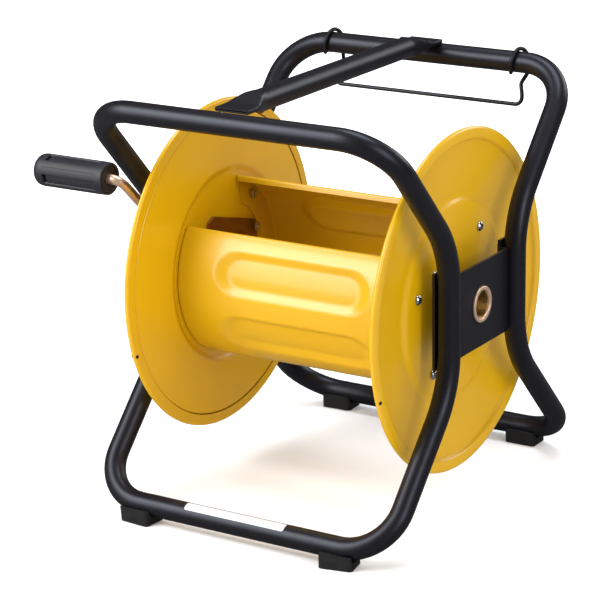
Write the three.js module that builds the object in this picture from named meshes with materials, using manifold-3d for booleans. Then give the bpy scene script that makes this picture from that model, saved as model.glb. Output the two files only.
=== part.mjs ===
// Free-standing hose reel: a two-loop tube frame with a steel drum between its side plates.
// Millimetres. +X runs along the axle to the inlet side, +Y is the rear, +Z is up.
// Everything is modelled about the axle centre and moved to the bottom centre at the end.
import * as THREE from 'three';
import { mergeVertices } from 'three/addons/utils/BufferGeometryUtils.js';
import Module from 'manifold-3d';

const wasm = await Module();
wasm.setup();

// ---------------------------------------------------------------- driving dimensions

// Clearances.
const GAP = 0.3; // between pieces that are fixed to each other
const RUNNING = 0.5; // radial, between a turning piece and its bore

// Frame tube and loops.
const TUBE_D = 22.2;
const TUBE_R = TUBE_D / 2;
const TUBE_WALL = 1.6;
const LOOP_HALF_WIDTH = 166.7;
const TOP_BAR_Y = 187.5;
const TOP_BAR_Z = 201.5;
const BOTTOM_BAR_Y = 194;
const BOTTOM_BAR_Z = -198;
const WAIST_Y = 68;
const WAIST_TOP_Z = 73;
const WAIST_BOTTOM_Z = -66;
const CORNER_BEND = 50;
const WAIST_BEND = 95;
const BAR_STRAIGHT_X = LOOP_HALF_WIDTH - CORNER_BEND;

// Carry handle, its flattened ends lying on the top bars.
const HANDLE_FLAT_WIDTH = 38;
const HANDLE_FLAT_HEIGHT = 4.4;
const HANDLE_SLIT = 0.8;
const HANDLE_Z = TOP_BAR_Z + TUBE_R + GAP + HANDLE_FLAT_HEIGHT / 2;
const HANDLE_TIP_Y = TOP_BAR_Y - 1.5;
const HANDLE_FLAT_Y = TOP_BAR_Y - 14.5;
const HANDLE_ROUND_Y = TOP_BAR_Y - 49.5;

// Feet, at the ends of the bottom bars' straights.
const FOOT_X = BAR_STRAIGHT_X - 0.7;
const FOOT_LENGTH = 35;
const FOOT_DEPTH = TUBE_D + 4.8;
const FOOT_BOTTOM_Z = BOTTOM_BAR_Z - TUBE_R - 6.9;
const FOOT_TOP_Z = BOTTOM_BAR_Z - 2.5;
const FOOT_TURN = { front_left: -5, front_right: 11, rear_left: 3, rear_right: 0 };
const FOOT_SCREW_R = 2.1;
const FOOT_SCREW_HEAD_R = 4.6;
const FOOT_SCREW_SINK = 3.4;

// Side plates.
const PLATE_THICKNESS = 3;
const PLATE_FACE_X = LOOP_HALF_WIDTH - 1.2;
const PLATE_HALF_HEIGHT = 43;
const PLATE_STRIP_HALF_HEIGHT = 49;
const PLATE_STRIP_END_Y = WAIST_Y + 8;

// Drum.
const SHEET = 1.2;
const FLANGE_R = 175;
const FLANGE_X = LOOP_HALF_WIDTH - 33.7;
const HUB_FACE_X = FLANGE_X + 3.5;
const RIM_DEPTH = 10;
const RIM_FLARE = 12.5;
const CORE_R = 92;
const CORE_CENTRE_DEG = 19;
const CORE_HALF_DEG = 58;
const CORE_HEM = 6;
const HUB_R = CORE_R + 7;
const HUB_STEP_R = HUB_R + 5;
const CORE_SCREW_R = CORE_R - 12;
const CORE_SCREW_DEG = 34;
const TAB_INNER_R = CORE_R - 27.5;
const TAB_HALF_DEG = 45;
const RIM_HOLE_R = FLANGE_R - 8;
const RIM_HOLE_D = 4;
const RIM_HOLE_DEG = -160.5;

// Hub plates inside the drum.
const HUB_PLATE_CORNER = TAB_INNER_R - 2.5;
const HUB_PLATE_HALF = 0.766 * HUB_PLATE_CORNER;
const HUB_PLATE_THICKNESS = 3;
const HUB_SCREW_R = HUB_PLATE_CORNER - 6;
const HUB_SCREW_DEG = { left: 30, right: 140 };

// Fasteners.
const SCREW_R = 2.5;
const SCREW_HEAD_R = 5.2;
const SCREW_HEAD_H = 3.6;
const NUT_R = 5.6;
const NUT_H = 4.5;

// Axle: hollow inlet pipe on the right, solid crank axle on the left.
const PIPE_R = 18.3;
const PIPE_BORE_R = PIPE_R - 4.3;
const PIPE_END_X = PLATE_FACE_X + 1.9;
const AXLE_R = 10;
const SHOULDER = { left: 6, right: 4.7 };
const SHOULDER_END_X = PLATE_FACE_X - PLATE_THICKNESS - 4.5;
const AXLE_INNER_X = HUB_FACE_X - 18.5;
const AXLE_NUT_H = 7;
const AXLE_NUT_WALL = { left: 7, right: 8.7 };
const BUSH_WALL = 1.7;
const BUSH_FLANGE = 5.5;
const BUSH_PROUD = 0.4;
const AXLE_PLAY = 0.8;
const COLLAR_WALL = 6;
const COLLAR_LENGTH = 9;

// Crank and grip.
const ROD_R = 5;
const ROD_BEND = 12;
const CRANK_X = LOOP_HALF_WIDTH + TUBE_R + ROD_R + 1.7;
const CRANK_RADIUS = 158;
const CRANK_DEG = 136.5;
const CRANK_TAIL = 14;
const AXLE_END_X = CRANK_X + 9.5;
const GRIP_R = 17;
const GRIP_LENGTH = 88;
const GRIP_GROOVE = 1.5;
const GRIP_RIBS = 8;
const GRIP_START_X = CRANK_X + ROD_BEND + 0.5;
const GRIP_END_X = GRIP_START_X + GRIP_LENGTH;
const GRIP_RECESS_R = 10;
const GRIP_RECESS = 9;
const END_CAP_R = 8;

// Wire bail on the rear top bar.
const WIRE_R = 2.15;
const HOOK_GAP = 0.7;
const HOOK_WRAP_DEG = 228;
const HOOK_SHIFT = 8;
const HOOK_R = TUBE_R + WIRE_R + HOOK_GAP;
const BAIL_X = BAR_STRAIGHT_X - 4.7;
const BAIL_DROP = 44.5;
const BAIL_LEAN = 2;
const BAIL_JOG = 5;
const BAIL_BEND = 7;

// ---------------------------------------------------------------- solids

const SHAFT_R = { left: AXLE_R, right: PIPE_R };
const AXLE_BORE_R = { left: AXLE_R + GAP + 0.1, right: PIPE_R + GAP + 0.1 };
const SIDE_SIGN = { left: -1, right: 1 };

const rad = (degrees) => THREE.MathUtils.degToRad(degrees);

// A closed three.js geometry as a manifold solid facing out.
function solid(geometry) {
  const plain = geometry.clone();
  plain.deleteAttribute('normal');
  plain.deleteAttribute('uv');
  const merged = mergeVertices(plain, 1e-4);
  const position = merged.attributes.position.array;
  const index = merged.index.array;
  const triangles = [];
  let volume = 0;
  const a = new THREE.Vector3();
  const b = new THREE.Vector3();
  const c = new THREE.Vector3();
  for (let i = 0; i < index.length; i += 3) {
    const [p, q, r] = [index[i], index[i + 1], index[i + 2]];
    if (p === q || q === r || r === p) continue;
    triangles.push(p, q, r);
    a.fromArray(position, 3 * p);
    b.fromArray(position, 3 * q);
    c.fromArray(position, 3 * r);
    volume += a.dot(b.cross(c));
  }
  if (volume < 0) triangles.reverse();
  return new wasm.Manifold(new wasm.Mesh({
    numProp: 3,
    vertProperties: Float32Array.from(position),
    triVerts: Uint32Array.from(triangles),
  }));
}

// A manifold solid as a flat-shaded three.js geometry.
function geometryOf(manifold) {
  const mesh = manifold.getMesh();
  const geometry = new THREE.BufferGeometry();
  geometry.setAttribute('position', new THREE.BufferAttribute(Float32Array.from(mesh.vertProperties), 3));
  geometry.setIndex(Array.from(mesh.triVerts));
  return geometry;
}

// Stations joined by straight steps, with bends already divided.
class StationCurve extends THREE.Curve {
  constructor(stations, closed = false) {
    super();
    this.stations = stations;
    this.closed = closed;
  }
  getPoint(t, target = new THREE.Vector3()) {
    const count = this.stations.length;
    const steps = this.closed ? count : count - 1;
    const at = Math.round(t * steps);
    return target.copy(this.stations[this.closed ? at % count : at]);
  }
  getPointAt(t, target) {
    return this.getPoint(t, target);
  }
  getTangentAt(t, target = new THREE.Vector3()) {
    const count = this.stations.length;
    const steps = this.closed ? count : count - 1;
    const at = Math.round(t * steps);
    const wrap = (i) => (this.closed ? (i + count) % count : THREE.MathUtils.clamp(i, 0, count - 1));
    const here = this.stations[wrap(at)];
    const before = here.clone().sub(this.stations[wrap(at - 1)]).normalize();
    const after = this.stations[wrap(at + 1)].clone().sub(here).normalize();
    return target.copy(before).add(after).normalize();
  }
}

// Stations along straight runs with round bends: vertices are [x, y, z, bendRadius, steps].
function bentPath(vertices, closed = false) {
  const stations = [];
  const count = vertices.length;
  vertices.forEach(([x, y, z, radius, steps], i) => {
    const corner = new THREE.Vector3(x, y, z);
    const last = !closed && (i === 0 || i === count - 1);
    if (last || !radius) {
      stations.push(corner);
      return;
    }
    const before = new THREE.Vector3(...vertices[(i + count - 1) % count].slice(0, 3));
    const after = new THREE.Vector3(...vertices[(i + 1) % count].slice(0, 3));
    const into = corner.clone().sub(before).normalize();
    const out = after.sub(corner).normalize();
    const turn = into.angleTo(out);
    const start = corner.clone().addScaledVector(into, -radius * Math.tan(turn / 2));
    const inward = out.clone().addScaledVector(into, -out.dot(into)).normalize();
    for (let k = 0; k <= steps; k += 1) {
      const angle = (turn * k) / steps;
      stations.push(start.clone()
        .addScaledVector(into, radius * Math.sin(angle))
        .addScaledVector(inward, radius * (1 - Math.cos(angle))));
    }
  });
  return stations;
}

function circle(radius, sides) {
  const shape = new THREE.Shape();
  for (let i = 0; i < sides; i += 1) {
    const angle = (2 * Math.PI * (i + 0.5)) / sides;
    const point = [radius * Math.cos(angle), radius * Math.sin(angle)];
    if (i === 0) shape.moveTo(...point);
    else shape.lineTo(...point);
  }
  shape.closePath();
  return shape;
}

function sweep(stations, radius, sides) {
  return solid(new THREE.ExtrudeGeometry(circle(radius, sides), {
    steps: stations.length - 1,
    extrudePath: new StationCurve(stations),
  }));
}

function sweepLoop(stations, radius, sides) {
  const curve = new StationCurve(stations, true);
  return solid(new THREE.TubeGeometry(curve, stations.length, radius, sides, true));
}

// A profile of [radius, x] points turned about the axle; side -1 mirrors it to the left.
function turned(profile, side, segments) {
  const points = profile.map(([r, x]) => new THREE.Vector2(r, x));
  const geometry = new THREE.LatheGeometry(points, segments);
  geometry.rotateZ(side > 0 ? -Math.PI / 2 : Math.PI / 2);
  geometry.rotateX(Math.PI / segments);
  return solid(geometry);
}

// A ring or plain cylinder on the axle between two distances from the centre.
function ring(inner, outer, from, to, side, segments) {
  const profile = [[inner, from], [outer, from], [outer, to], [inner, to]];
  if (inner > 0) profile.push([inner, from]);
  return turned(profile, side, segments);
}

// A closed profile: a bent centre line given a thickness.
function sheetProfile(centreLine, thickness) {
  const half = thickness / 2;
  const near = [];
  const far = [];
  centreLine.forEach(([r, x], i) => {
    const previous = centreLine[Math.max(i - 1, 0)];
    const next = centreLine[Math.min(i + 1, centreLine.length - 1)];
    const along = new THREE.Vector2(next[0] - previous[0], next[1] - previous[1]).normalize();
    near.push([r + along.y * half, x - along.x * half]);
    far.unshift([r - along.y * half, x + along.x * half]);
  });
  return [...near, ...far, near[0]];
}

// A flat outline of [y, z] points given a thickness between two distances along the axle.
function plate(outline, from, to, side) {
  const shape = new THREE.Shape(outline.map(([y, z]) => new THREE.Vector2(y, z)));
  const geometry = new THREE.ExtrudeGeometry(shape, { depth: to - from, bevelEnabled: false });
  geometry.applyMatrix4(new THREE.Matrix4().makeBasis(
    new THREE.Vector3(0, 1, 0),
    new THREE.Vector3(0, 0, 1),
    new THREE.Vector3(1, 0, 0),
  ));
  geometry.translate(side > 0 ? from : -to, 0, 0);
  return solid(geometry);
}

// A straight pin parallel to the axle at a radius and angle from it.
function pin(radius, from, to, side, r, degrees, sides) {
  return ring(0, radius, from, to, side, sides)
    .translate([0, r * Math.cos(rad(degrees)), r * Math.sin(rad(degrees))]);
}

function box(width, depth, height, x, y, z) {
  return solid(new THREE.BoxGeometry(width, depth, height)).translate([x, y, z]);
}

function arcPoints(radius, fromDeg, toDeg, steps) {
  const points = [];
  for (let i = 0; i <= steps; i += 1) {
    const angle = rad(fromDeg + ((toDeg - fromDeg) * i) / Math.max(steps, 1));
    points.push([radius * Math.cos(angle), radius * Math.sin(angle)]);
  }
  return points;
}

// ---------------------------------------------------------------- scene group

const reel = new THREE.Group();
reel.name = 'hose_reel';

function add(name, manifold, look) {
  const material = new THREE.MeshStandardMaterial(look);
  const mesh = new THREE.Mesh(geometryOf(manifold), material);
  mesh.name = name;
  reel.add(mesh);
}

const BLACK_COAT = { color: 0x1c1b1e, roughness: 0.38, metalness: 0.1 };
const YELLOW_PAINT = { color: 0xd9a406, roughness: 0.3, metalness: 0.1 };
const RUBBER = { color: 0x161616, roughness: 0.85, metalness: 0 };
const PLASTIC = { color: 0x24232a, roughness: 0.5, metalness: 0 };
const ZINC = { color: 0xc9ccd2, roughness: 0.28, metalness: 1 };
const YELLOW_ZINC = { color: 0xc2a06a, roughness: 0.35, metalness: 1 };
const DARK_ZINC = { color: 0x4a3a1c, roughness: 0.45, metalness: 0.8 };

// ---------------------------------------------------------------- frame

// Corners of one loop, in order; ySign is -1 for the front loop.
function loopStations(ySign) {
  const corner = (x, y, z) => [x, ySign * y, z, CORNER_BEND, 5];
  const waist = (x, z) => [x, ySign * WAIST_Y, z, WAIST_BEND, 3];
  const w = LOOP_HALF_WIDTH;
  return bentPath([
    corner(w, TOP_BAR_Y, TOP_BAR_Z),
    waist(w, WAIST_TOP_Z),
    waist(w, WAIST_BOTTOM_Z),
    corner(w, BOTTOM_BAR_Y, BOTTOM_BAR_Z),
    corner(-w, BOTTOM_BAR_Y, BOTTOM_BAR_Z),
    waist(-w, WAIST_BOTTOM_Z),
    waist(-w, WAIST_TOP_Z),
    corner(-w, TOP_BAR_Y, TOP_BAR_Z),
  ], true);
}

function upright(radius, x, y, bottom, top, sides) {
  const geometry = new THREE.CylinderGeometry(radius, radius, top - bottom, sides);
  geometry.rotateX(Math.PI / 2);
  geometry.translate(x, y, (top + bottom) / 2);
  return solid(geometry);
}

const FOOT_PLACES = [
  { name: 'front_left', x: -FOOT_X, y: -BOTTOM_BAR_Y },
  { name: 'front_right', x: FOOT_X, y: -BOTTOM_BAR_Y },
  { name: 'rear_left', x: -FOOT_X, y: BOTTOM_BAR_Y },
  { name: 'rear_right', x: FOOT_X, y: BOTTOM_BAR_Y },
];

for (const [name, ySign] of [['front', -1], ['rear', 1]]) {
  const stations = loopStations(ySign);
  let loop = sweepLoop(stations, TUBE_R, 12);
  loop = loop.subtract(sweepLoop(stations, TUBE_R - TUBE_WALL, 6));
  for (const place of FOOT_PLACES.filter(({ y }) => y * ySign > 0)) {
    const floor = BOTTOM_BAR_Z - TUBE_R;
    loop = loop.subtract(upright(FOOT_SCREW_R + 0.5, place.x, place.y, floor - 2, floor + 4, 8));
  }
  add(`${name}_loop`, loop, BLACK_COAT);
}

// A tube along Y whose rings are [y, halfWidth, halfHeight].
function handleForm(rings, sides) {
  const steps = rings.length - 1;
  const geometry = new THREE.CylinderGeometry(1, 1, steps, sides, steps);
  const position = geometry.attributes.position;
  for (let i = 0; i < position.count; i += 1) {
    const [y, halfWidth, halfHeight] = rings[Math.round(position.getY(i) + steps / 2)];
    const across = position.getX(i);
    const up = position.getZ(i);
    const fullness = halfHeight < halfWidth / 2 ? 0.4 : 1;
    position.setXYZ(i, across * halfWidth, y, Math.sign(up) * Math.abs(up) ** fullness * halfHeight);
  }
  return solid(geometry).translate([0, 0, HANDLE_Z]);
}

function handleRings(roundR, flatHalfWidth, flatHalfHeight, extra) {
  const ease = (t) => t * t * (3 - 2 * t);
  const rings = [];
  for (let i = 0; i <= 4; i += 1) {
    const t = ease(i / 4);
    const y = HANDLE_ROUND_Y + ((HANDLE_FLAT_Y - HANDLE_ROUND_Y) * i) / 4;
    rings.push([y, roundR + (flatHalfWidth - roundR) * t, roundR + (flatHalfHeight - roundR) * t]);
  }
  rings.push([HANDLE_TIP_Y + extra, flatHalfWidth, flatHalfHeight]);
  const mirrored = rings.map(([y, w, h]) => [-y, w, h]).reverse();
  return [...mirrored, ...rings];
}

const handleOuter = handleForm(handleRings(TUBE_R, HANDLE_FLAT_WIDTH / 2, HANDLE_FLAT_HEIGHT / 2, 0), 12);
const handleBore = handleForm(
  handleRings(TUBE_R - TUBE_WALL, HANDLE_FLAT_WIDTH / 2 - 3, HANDLE_SLIT / 2, 1),
  8,
);
add('carry_handle', handleOuter.subtract(handleBore), BLACK_COAT);

// ---------------------------------------------------------------- feet

function roundedRect(width, depth, corner) {
  const x = width / 2;
  const y = depth / 2;
  const shape = new THREE.Shape();
  const corners = [[x - corner, y - corner, 0], [corner - x, y - corner, 90],
    [corner - x, corner - y, 180], [x - corner, corner - y, 270]];
  corners.forEach(([cx, cy, start], i) => {
    arcPoints(corner, start, start + 90, 2).forEach(([dx, dy], k) => {
      if (i === 0 && k === 0) shape.moveTo(cx + dx, cy + dy);
      else shape.lineTo(cx + dx, cy + dy);
    });
  });
  shape.closePath();
  return shape;
}

const footHeight = FOOT_TOP_Z - FOOT_BOTTOM_Z;
for (const { name, x, y } of FOOT_PLACES) {
  const block = new THREE.ExtrudeGeometry(roundedRect(FOOT_LENGTH - 2, FOOT_DEPTH - 2, 3), {
    depth: footHeight - 1,
    bevelThickness: 1,
    bevelSize: 1,
    bevelSegments: 1,
  });
  block.rotateZ(rad(FOOT_TURN[name]));
  block.translate(x, y, FOOT_BOTTOM_Z + 1);
  const tube = sweepLoop(loopStations(Math.sign(y)), TUBE_R + GAP, 12);
  const foot = solid(block)
    .intersect(box(80, 80, footHeight, x, y, FOOT_BOTTOM_Z + footHeight / 2))
    .subtract(tube)
    .subtract(upright(FOOT_SCREW_R + GAP, x, y, FOOT_BOTTOM_Z - 1, FOOT_TOP_Z, 8))
    .subtract(upright(FOOT_SCREW_HEAD_R + 0.4, x, y, FOOT_BOTTOM_Z - 1, FOOT_BOTTOM_Z + FOOT_SCREW_SINK, 12));
  add(`foot_${name}`, foot, RUBBER);

  const headTop = FOOT_BOTTOM_Z + FOOT_SCREW_SINK - GAP;
  const head = upright(FOOT_SCREW_HEAD_R, x, y, headTop - 2.4, headTop, 12);
  const shank = upright(FOOT_SCREW_R, x, y, headTop - 0.5, BOTTOM_BAR_Z - TUBE_R + 5, 8);
  add(`foot_screw_${name}`, head.add(shank), ZINC);
}

// ---------------------------------------------------------------- side plates and bushes

const stripFaceX = LOOP_HALF_WIDTH - TUBE_R - GAP;
const webEndY = WAIST_Y - TUBE_R - GAP;

for (const side of ['left', 'right']) {
  const sign = SIDE_SIGN[side];
  const t = PLATE_THICKNESS;
  const halfOutline = [
    [PLATE_FACE_X, webEndY],
    [stripFaceX, webEndY],
    [stripFaceX, PLATE_STRIP_END_Y],
    [stripFaceX - t, PLATE_STRIP_END_Y],
    [stripFaceX - t, webEndY - t],
    [PLATE_FACE_X - t, webEndY - t],
  ];
  const outline = [...halfOutline, ...halfOutline.map(([x, y]) => [x, -y]).reverse()];
  const shape = new THREE.Shape(outline.map(([x, y]) => new THREE.Vector2(sign * x, y)));
  const pressed = new THREE.ExtrudeGeometry(shape, {
    depth: 2 * PLATE_STRIP_HALF_HEIGHT,
    bevelEnabled: false,
  });
  pressed.translate(0, 0, -PLATE_STRIP_HALF_HEIGHT);
  const holeR = SHAFT_R[side] + RUNNING + BUSH_WALL + GAP;
  let body = solid(pressed).subtract(ring(0, holeR, PLATE_FACE_X - 10, PLATE_FACE_X + 5, sign, 24));
  for (const up of [-1, 1]) {
    const trim = PLATE_STRIP_HALF_HEIGHT;
    const trimZ = up * (PLATE_HALF_HEIGHT + trim / 2);
    body = body.subtract(box(60, 2 * webEndY + 0.02, trim, sign * PLATE_FACE_X, 0, trimZ));
  }
  add(`side_plate_${side}`, body, BLACK_COAT);

  const bore = SHAFT_R[side] + RUNNING;
  const webBackX = PLATE_FACE_X - t;
  const flangeX = SHOULDER_END_X + AXLE_PLAY;
  const bush = turned([
    [bore, flangeX],
    [bore + BUSH_WALL + BUSH_FLANGE, flangeX],
    [bore + BUSH_WALL + BUSH_FLANGE, webBackX - GAP],
    [bore + BUSH_WALL, webBackX - GAP],
    [bore + BUSH_WALL, PLATE_FACE_X + BUSH_PROUD],
    [bore, PLATE_FACE_X + BUSH_PROUD],
    [bore, flangeX],
  ], sign, 24);
  add(`bush_${side}`, bush, PLASTIC);
}

// ---------------------------------------------------------------- drum

const FRONT_DEG = 180 + CORE_CENTRE_DEG;
const CORE_SCREWS = [
  { name: 'front_upper', degrees: FRONT_DEG - CORE_SCREW_DEG },
  { name: 'front_lower', degrees: FRONT_DEG + CORE_SCREW_DEG },
  { name: 'rear_upper', degrees: CORE_CENTRE_DEG + CORE_SCREW_DEG },
  { name: 'rear_lower', degrees: CORE_CENTRE_DEG - CORE_SCREW_DEG },
];
const hubInnerX = HUB_FACE_X - SHEET;
const tabOuterX = hubInnerX - GAP;

// The space for a screw through a flange and whatever lies against its inside.
function screwHole(sign, r, degrees) {
  return pin(SCREW_R + 0.4, HUB_FACE_X - 8, HUB_FACE_X + 4, sign, r, degrees, 8);
}

function hubScrews(side) {
  return [
    { name: 'a', degrees: HUB_SCREW_DEG[side] },
    { name: 'b', degrees: HUB_SCREW_DEG[side] + 180 },
  ];
}

for (const side of ['left', 'right']) {
  const sign = SIDE_SIGN[side];
  const mid = FLANGE_X - SHEET / 2;
  const hub = HUB_FACE_X - SHEET / 2;
  const r = FLANGE_R - SHEET / 2;
  const centreLine = [
    [AXLE_BORE_R[side], hub],
    [HUB_R, hub],
    [HUB_STEP_R, mid],
    [r - RIM_FLARE, mid],
    [r - 3, mid + 0.65 * RIM_DEPTH],
    [r, mid + 0.82 * RIM_DEPTH],
    [r - 1.4, mid + RIM_DEPTH],
  ];
  let flange = turned(sheetProfile(centreLine, SHEET), sign, 48);
  for (const { degrees } of CORE_SCREWS) {
    flange = flange.subtract(screwHole(sign, CORE_SCREW_R, degrees));
  }
  for (const { degrees } of hubScrews(side)) {
    flange = flange.subtract(screwHole(sign, HUB_SCREW_R, degrees));
  }
  const rimHole = pin(RIM_HOLE_D / 2, FLANGE_X - 3, FLANGE_X + 7, sign, RIM_HOLE_R, RIM_HOLE_DEG, 8);
  flange = flange.subtract(rimHole);
  add(`flange_${side}`, flange, YELLOW_PAINT);

  const h = HUB_PLATE_HALF;
  const cut = HUB_PLATE_CORNER * Math.SQRT2 - h;
  const square = [[h, cut], [cut, h], [-cut, h], [-h, cut], [-h, -cut], [-cut, -h], [cut, -h], [h, -cut]];
  let hubPlate = plate(square, tabOuterX - HUB_PLATE_THICKNESS, tabOuterX, sign)
    .rotate([HUB_SCREW_DEG[side] - 45, 0, 0])
    .subtract(ring(0, AXLE_BORE_R[side], HUB_FACE_X - 10, HUB_FACE_X + 4, sign, 24));
  for (const { degrees } of hubScrews(side)) {
    hubPlate = hubPlate.subtract(screwHole(sign, HUB_SCREW_R, degrees));
  }
  add(`hub_plate_${side}`, hubPlate, DARK_ZINC);
}

// One half shell of the drum core about its own centre direction.
for (const [name, centre] of [['front', FRONT_DEG], ['rear', CORE_CENTRE_DEG]]) {
  const from = centre - CORE_HALF_DEG;
  const to = centre + CORE_HALF_DEG;
  const inner = CORE_R - SHEET;
  const hemmed = inner - CORE_HEM;
  const lipDeg = THREE.MathUtils.radToDeg(SHEET / inner);
  const arc = [
    ...arcPoints(hemmed, from, from, 0),
    ...arcPoints(CORE_R, from, to, 16),
    ...arcPoints(hemmed, to, to, 0),
    ...arcPoints(hemmed, to - lipDeg, to - lipDeg, 0),
    ...arcPoints(inner, to - lipDeg, from + lipDeg, 16),
    ...arcPoints(hemmed, from + lipDeg, from + lipDeg, 0),
  ];
  let shell = plate(arc, -tabOuterX, tabOuterX, 1);
  const tab = [
    ...arcPoints(CORE_R - SHEET / 2, centre - CORE_HALF_DEG + 3, centre + CORE_HALF_DEG - 3, 14),
    ...arcPoints(TAB_INNER_R, centre + TAB_HALF_DEG, centre - TAB_HALF_DEG, 8),
  ];
  for (const sign of [-1, 1]) {
    shell = shell.add(plate(tab, tabOuterX - SHEET, tabOuterX, sign));
    for (const degrees of [centre - CORE_SCREW_DEG, centre + CORE_SCREW_DEG]) {
      shell = shell.subtract(screwHole(sign, CORE_SCREW_R, degrees));
    }
  }
  add(`core_shell_${name}`, shell, YELLOW_PAINT);
}

// ---------------------------------------------------------------- drum fasteners

// A domed screw from outside the flange with its nut on the inside.
function screwAndNut(name, side, r, degrees, seatX) {
  const sign = SIDE_SIGN[side];
  const at = [0, r * Math.cos(rad(degrees)), r * Math.sin(rad(degrees))];
  const faceX = HUB_FACE_X + GAP;
  const nutTop = seatX - GAP;
  const screw = turned([
    [0, nutTop - NUT_H - 1],
    [SCREW_R, nutTop - NUT_H - 1],
    [SCREW_R, faceX],
    [SCREW_HEAD_R, faceX],
    [SCREW_HEAD_R, faceX + 0.45 * SCREW_HEAD_H],
    [0.6 * SCREW_HEAD_R, faceX + 0.88 * SCREW_HEAD_H],
    [0, faceX + SCREW_HEAD_H],
  ], sign, 8);
  add(`${name}_screw_${side}`, screw.translate(at), ZINC);
  const nut = ring(SCREW_R + 0.6, NUT_R, nutTop - NUT_H, nutTop, sign, 6);
  add(`${name}_nut_${side}`, nut.translate(at), ZINC);
}

for (const side of ['left', 'right']) {
  for (const { name, degrees } of CORE_SCREWS) {
    screwAndNut(`core_${name}`, side, CORE_SCREW_R, degrees, tabOuterX - SHEET);
  }
  for (const { name, degrees } of hubScrews(side)) {
    screwAndNut(`hub_${name}`, side, HUB_SCREW_R, degrees, tabOuterX - HUB_PLATE_THICKNESS);
  }
}

// ---------------------------------------------------------------- axle

const shoulderStartX = HUB_FACE_X + GAP;
const nutOuterX = tabOuterX - HUB_PLATE_THICKNESS - GAP;

function hexNut(side) {
  const sign = SIDE_SIGN[side];
  return ring(0, SHAFT_R[side] + AXLE_NUT_WALL[side], nutOuterX - AXLE_NUT_H, nutOuterX, sign, 6)
    .subtract(ring(0, AXLE_BORE_R[side], nutOuterX - AXLE_NUT_H - 1, nutOuterX + 1, sign, 24));
}

const inletPipe = turned([
  [PIPE_BORE_R, AXLE_INNER_X],
  [PIPE_R, AXLE_INNER_X],
  [PIPE_R, shoulderStartX],
  [PIPE_R + SHOULDER.right, shoulderStartX],
  [PIPE_R + SHOULDER.right, SHOULDER_END_X],
  [PIPE_R, SHOULDER_END_X],
  [PIPE_R, PIPE_END_X - 0.8],
  [PIPE_R - 0.8, PIPE_END_X],
  [PIPE_BORE_R + 0.8, PIPE_END_X],
  [PIPE_BORE_R, PIPE_END_X - 0.8],
  [PIPE_BORE_R, AXLE_INNER_X],
], 1, 24);
add('inlet_pipe', inletPipe, YELLOW_ZINC);
add('inlet_nut', hexNut('right'), YELLOW_ZINC);

const crankY = Math.cos(rad(CRANK_DEG));
const crankZ = Math.sin(rad(CRANK_DEG));
const onArm = (r) => [-CRANK_X, r * crankY, r * crankZ];
const armBore = sweep([
  new THREE.Vector3(...onArm(-30)),
  new THREE.Vector3(...onArm(30)),
], ROD_R + GAP + 0.2, 12);
const crankAxle = turned([
  [0, AXLE_INNER_X],
  [AXLE_R, AXLE_INNER_X],
  [AXLE_R, shoulderStartX],
  [AXLE_R + SHOULDER.left, shoulderStartX],
  [AXLE_R + SHOULDER.left, SHOULDER_END_X],
  [AXLE_R, SHOULDER_END_X],
  [AXLE_R, AXLE_END_X - 1.5],
  [AXLE_R - 1.5, AXLE_END_X],
  [0, AXLE_END_X],
], -1, 24).subtract(armBore);
add('crank_axle', crankAxle, YELLOW_ZINC);
add('crank_axle_nut', hexNut('left'), YELLOW_ZINC);

const collarX = PLATE_FACE_X + BUSH_PROUD + AXLE_PLAY;
const collar = ring(AXLE_BORE_R.left, AXLE_R + COLLAR_WALL, collarX, collarX + COLLAR_LENGTH, -1, 24);
add('crank_collar', collar, ZINC);

// ---------------------------------------------------------------- crank and grip

const rodEndX = GRIP_END_X - GRIP_RECESS + 3.5;
const armStations = bentPath([
  [...onArm(-CRANK_TAIL)],
  [...onArm(CRANK_RADIUS), ROD_BEND, 6],
  [-rodEndX, CRANK_RADIUS * crankY, CRANK_RADIUS * crankZ],
]);
add('crank_arm', sweep(armStations, ROD_R, 12), YELLOW_ZINC);

const atGrip = [0, CRANK_RADIUS * crankY, CRANK_RADIUS * crankZ];
const recessX = GRIP_END_X - GRIP_RECESS;
const endCap = turned([
  [0, rodEndX + GAP],
  [ROD_R + GAP, rodEndX + GAP],
  [ROD_R + GAP, recessX + GAP],
  [END_CAP_R, recessX + GAP],
  [END_CAP_R, rodEndX + 1.2],
  [END_CAP_R - 3, rodEndX + 2.2],
  [0, rodEndX + 2.2],
], -1, 12);
add('grip_end_cap', endCap.translate(atGrip), ZINC);

// Wide ribs along the grip, inside a turned envelope with a plain collar and a rounded end.
const ribbed = [];
for (let i = 0; i < GRIP_RIBS; i += 1) {
  const start = (360 * i) / GRIP_RIBS;
  const pitch = 360 / GRIP_RIBS;
  ribbed.push(...arcPoints(GRIP_R, start, start + 0.72 * pitch, 2));
  ribbed.push(...arcPoints(GRIP_R - GRIP_GROOVE, start + 0.8 * pitch, start + 0.92 * pitch, 1));
}
const envelope = turned([
  [0, GRIP_START_X],
  [GRIP_R - 2.5, GRIP_START_X],
  [GRIP_R, GRIP_START_X + 2],
  [GRIP_R, GRIP_END_X - 7],
  [GRIP_R - 2, GRIP_END_X - 2.5],
  [GRIP_R - 5, GRIP_END_X],
  [0, GRIP_END_X],
], -1, 24);
const innerCollar = turned([
  [0, GRIP_START_X],
  [GRIP_R - 2.5, GRIP_START_X],
  [GRIP_R - 0.3, GRIP_START_X + 2],
  [GRIP_R - 0.3, GRIP_START_X + 8],
  [0, GRIP_START_X + 8],
], -1, 24);
const grip = plate(ribbed, GRIP_START_X, GRIP_END_X, -1)
  .intersect(envelope)
  .add(innerCollar)
  .subtract(ring(0, ROD_R + RUNNING + 0.1, GRIP_START_X - 1, GRIP_END_X + 1, -1, 12))
  .subtract(ring(0, GRIP_RECESS_R, recessX, GRIP_END_X + 1, -1, 12));
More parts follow.
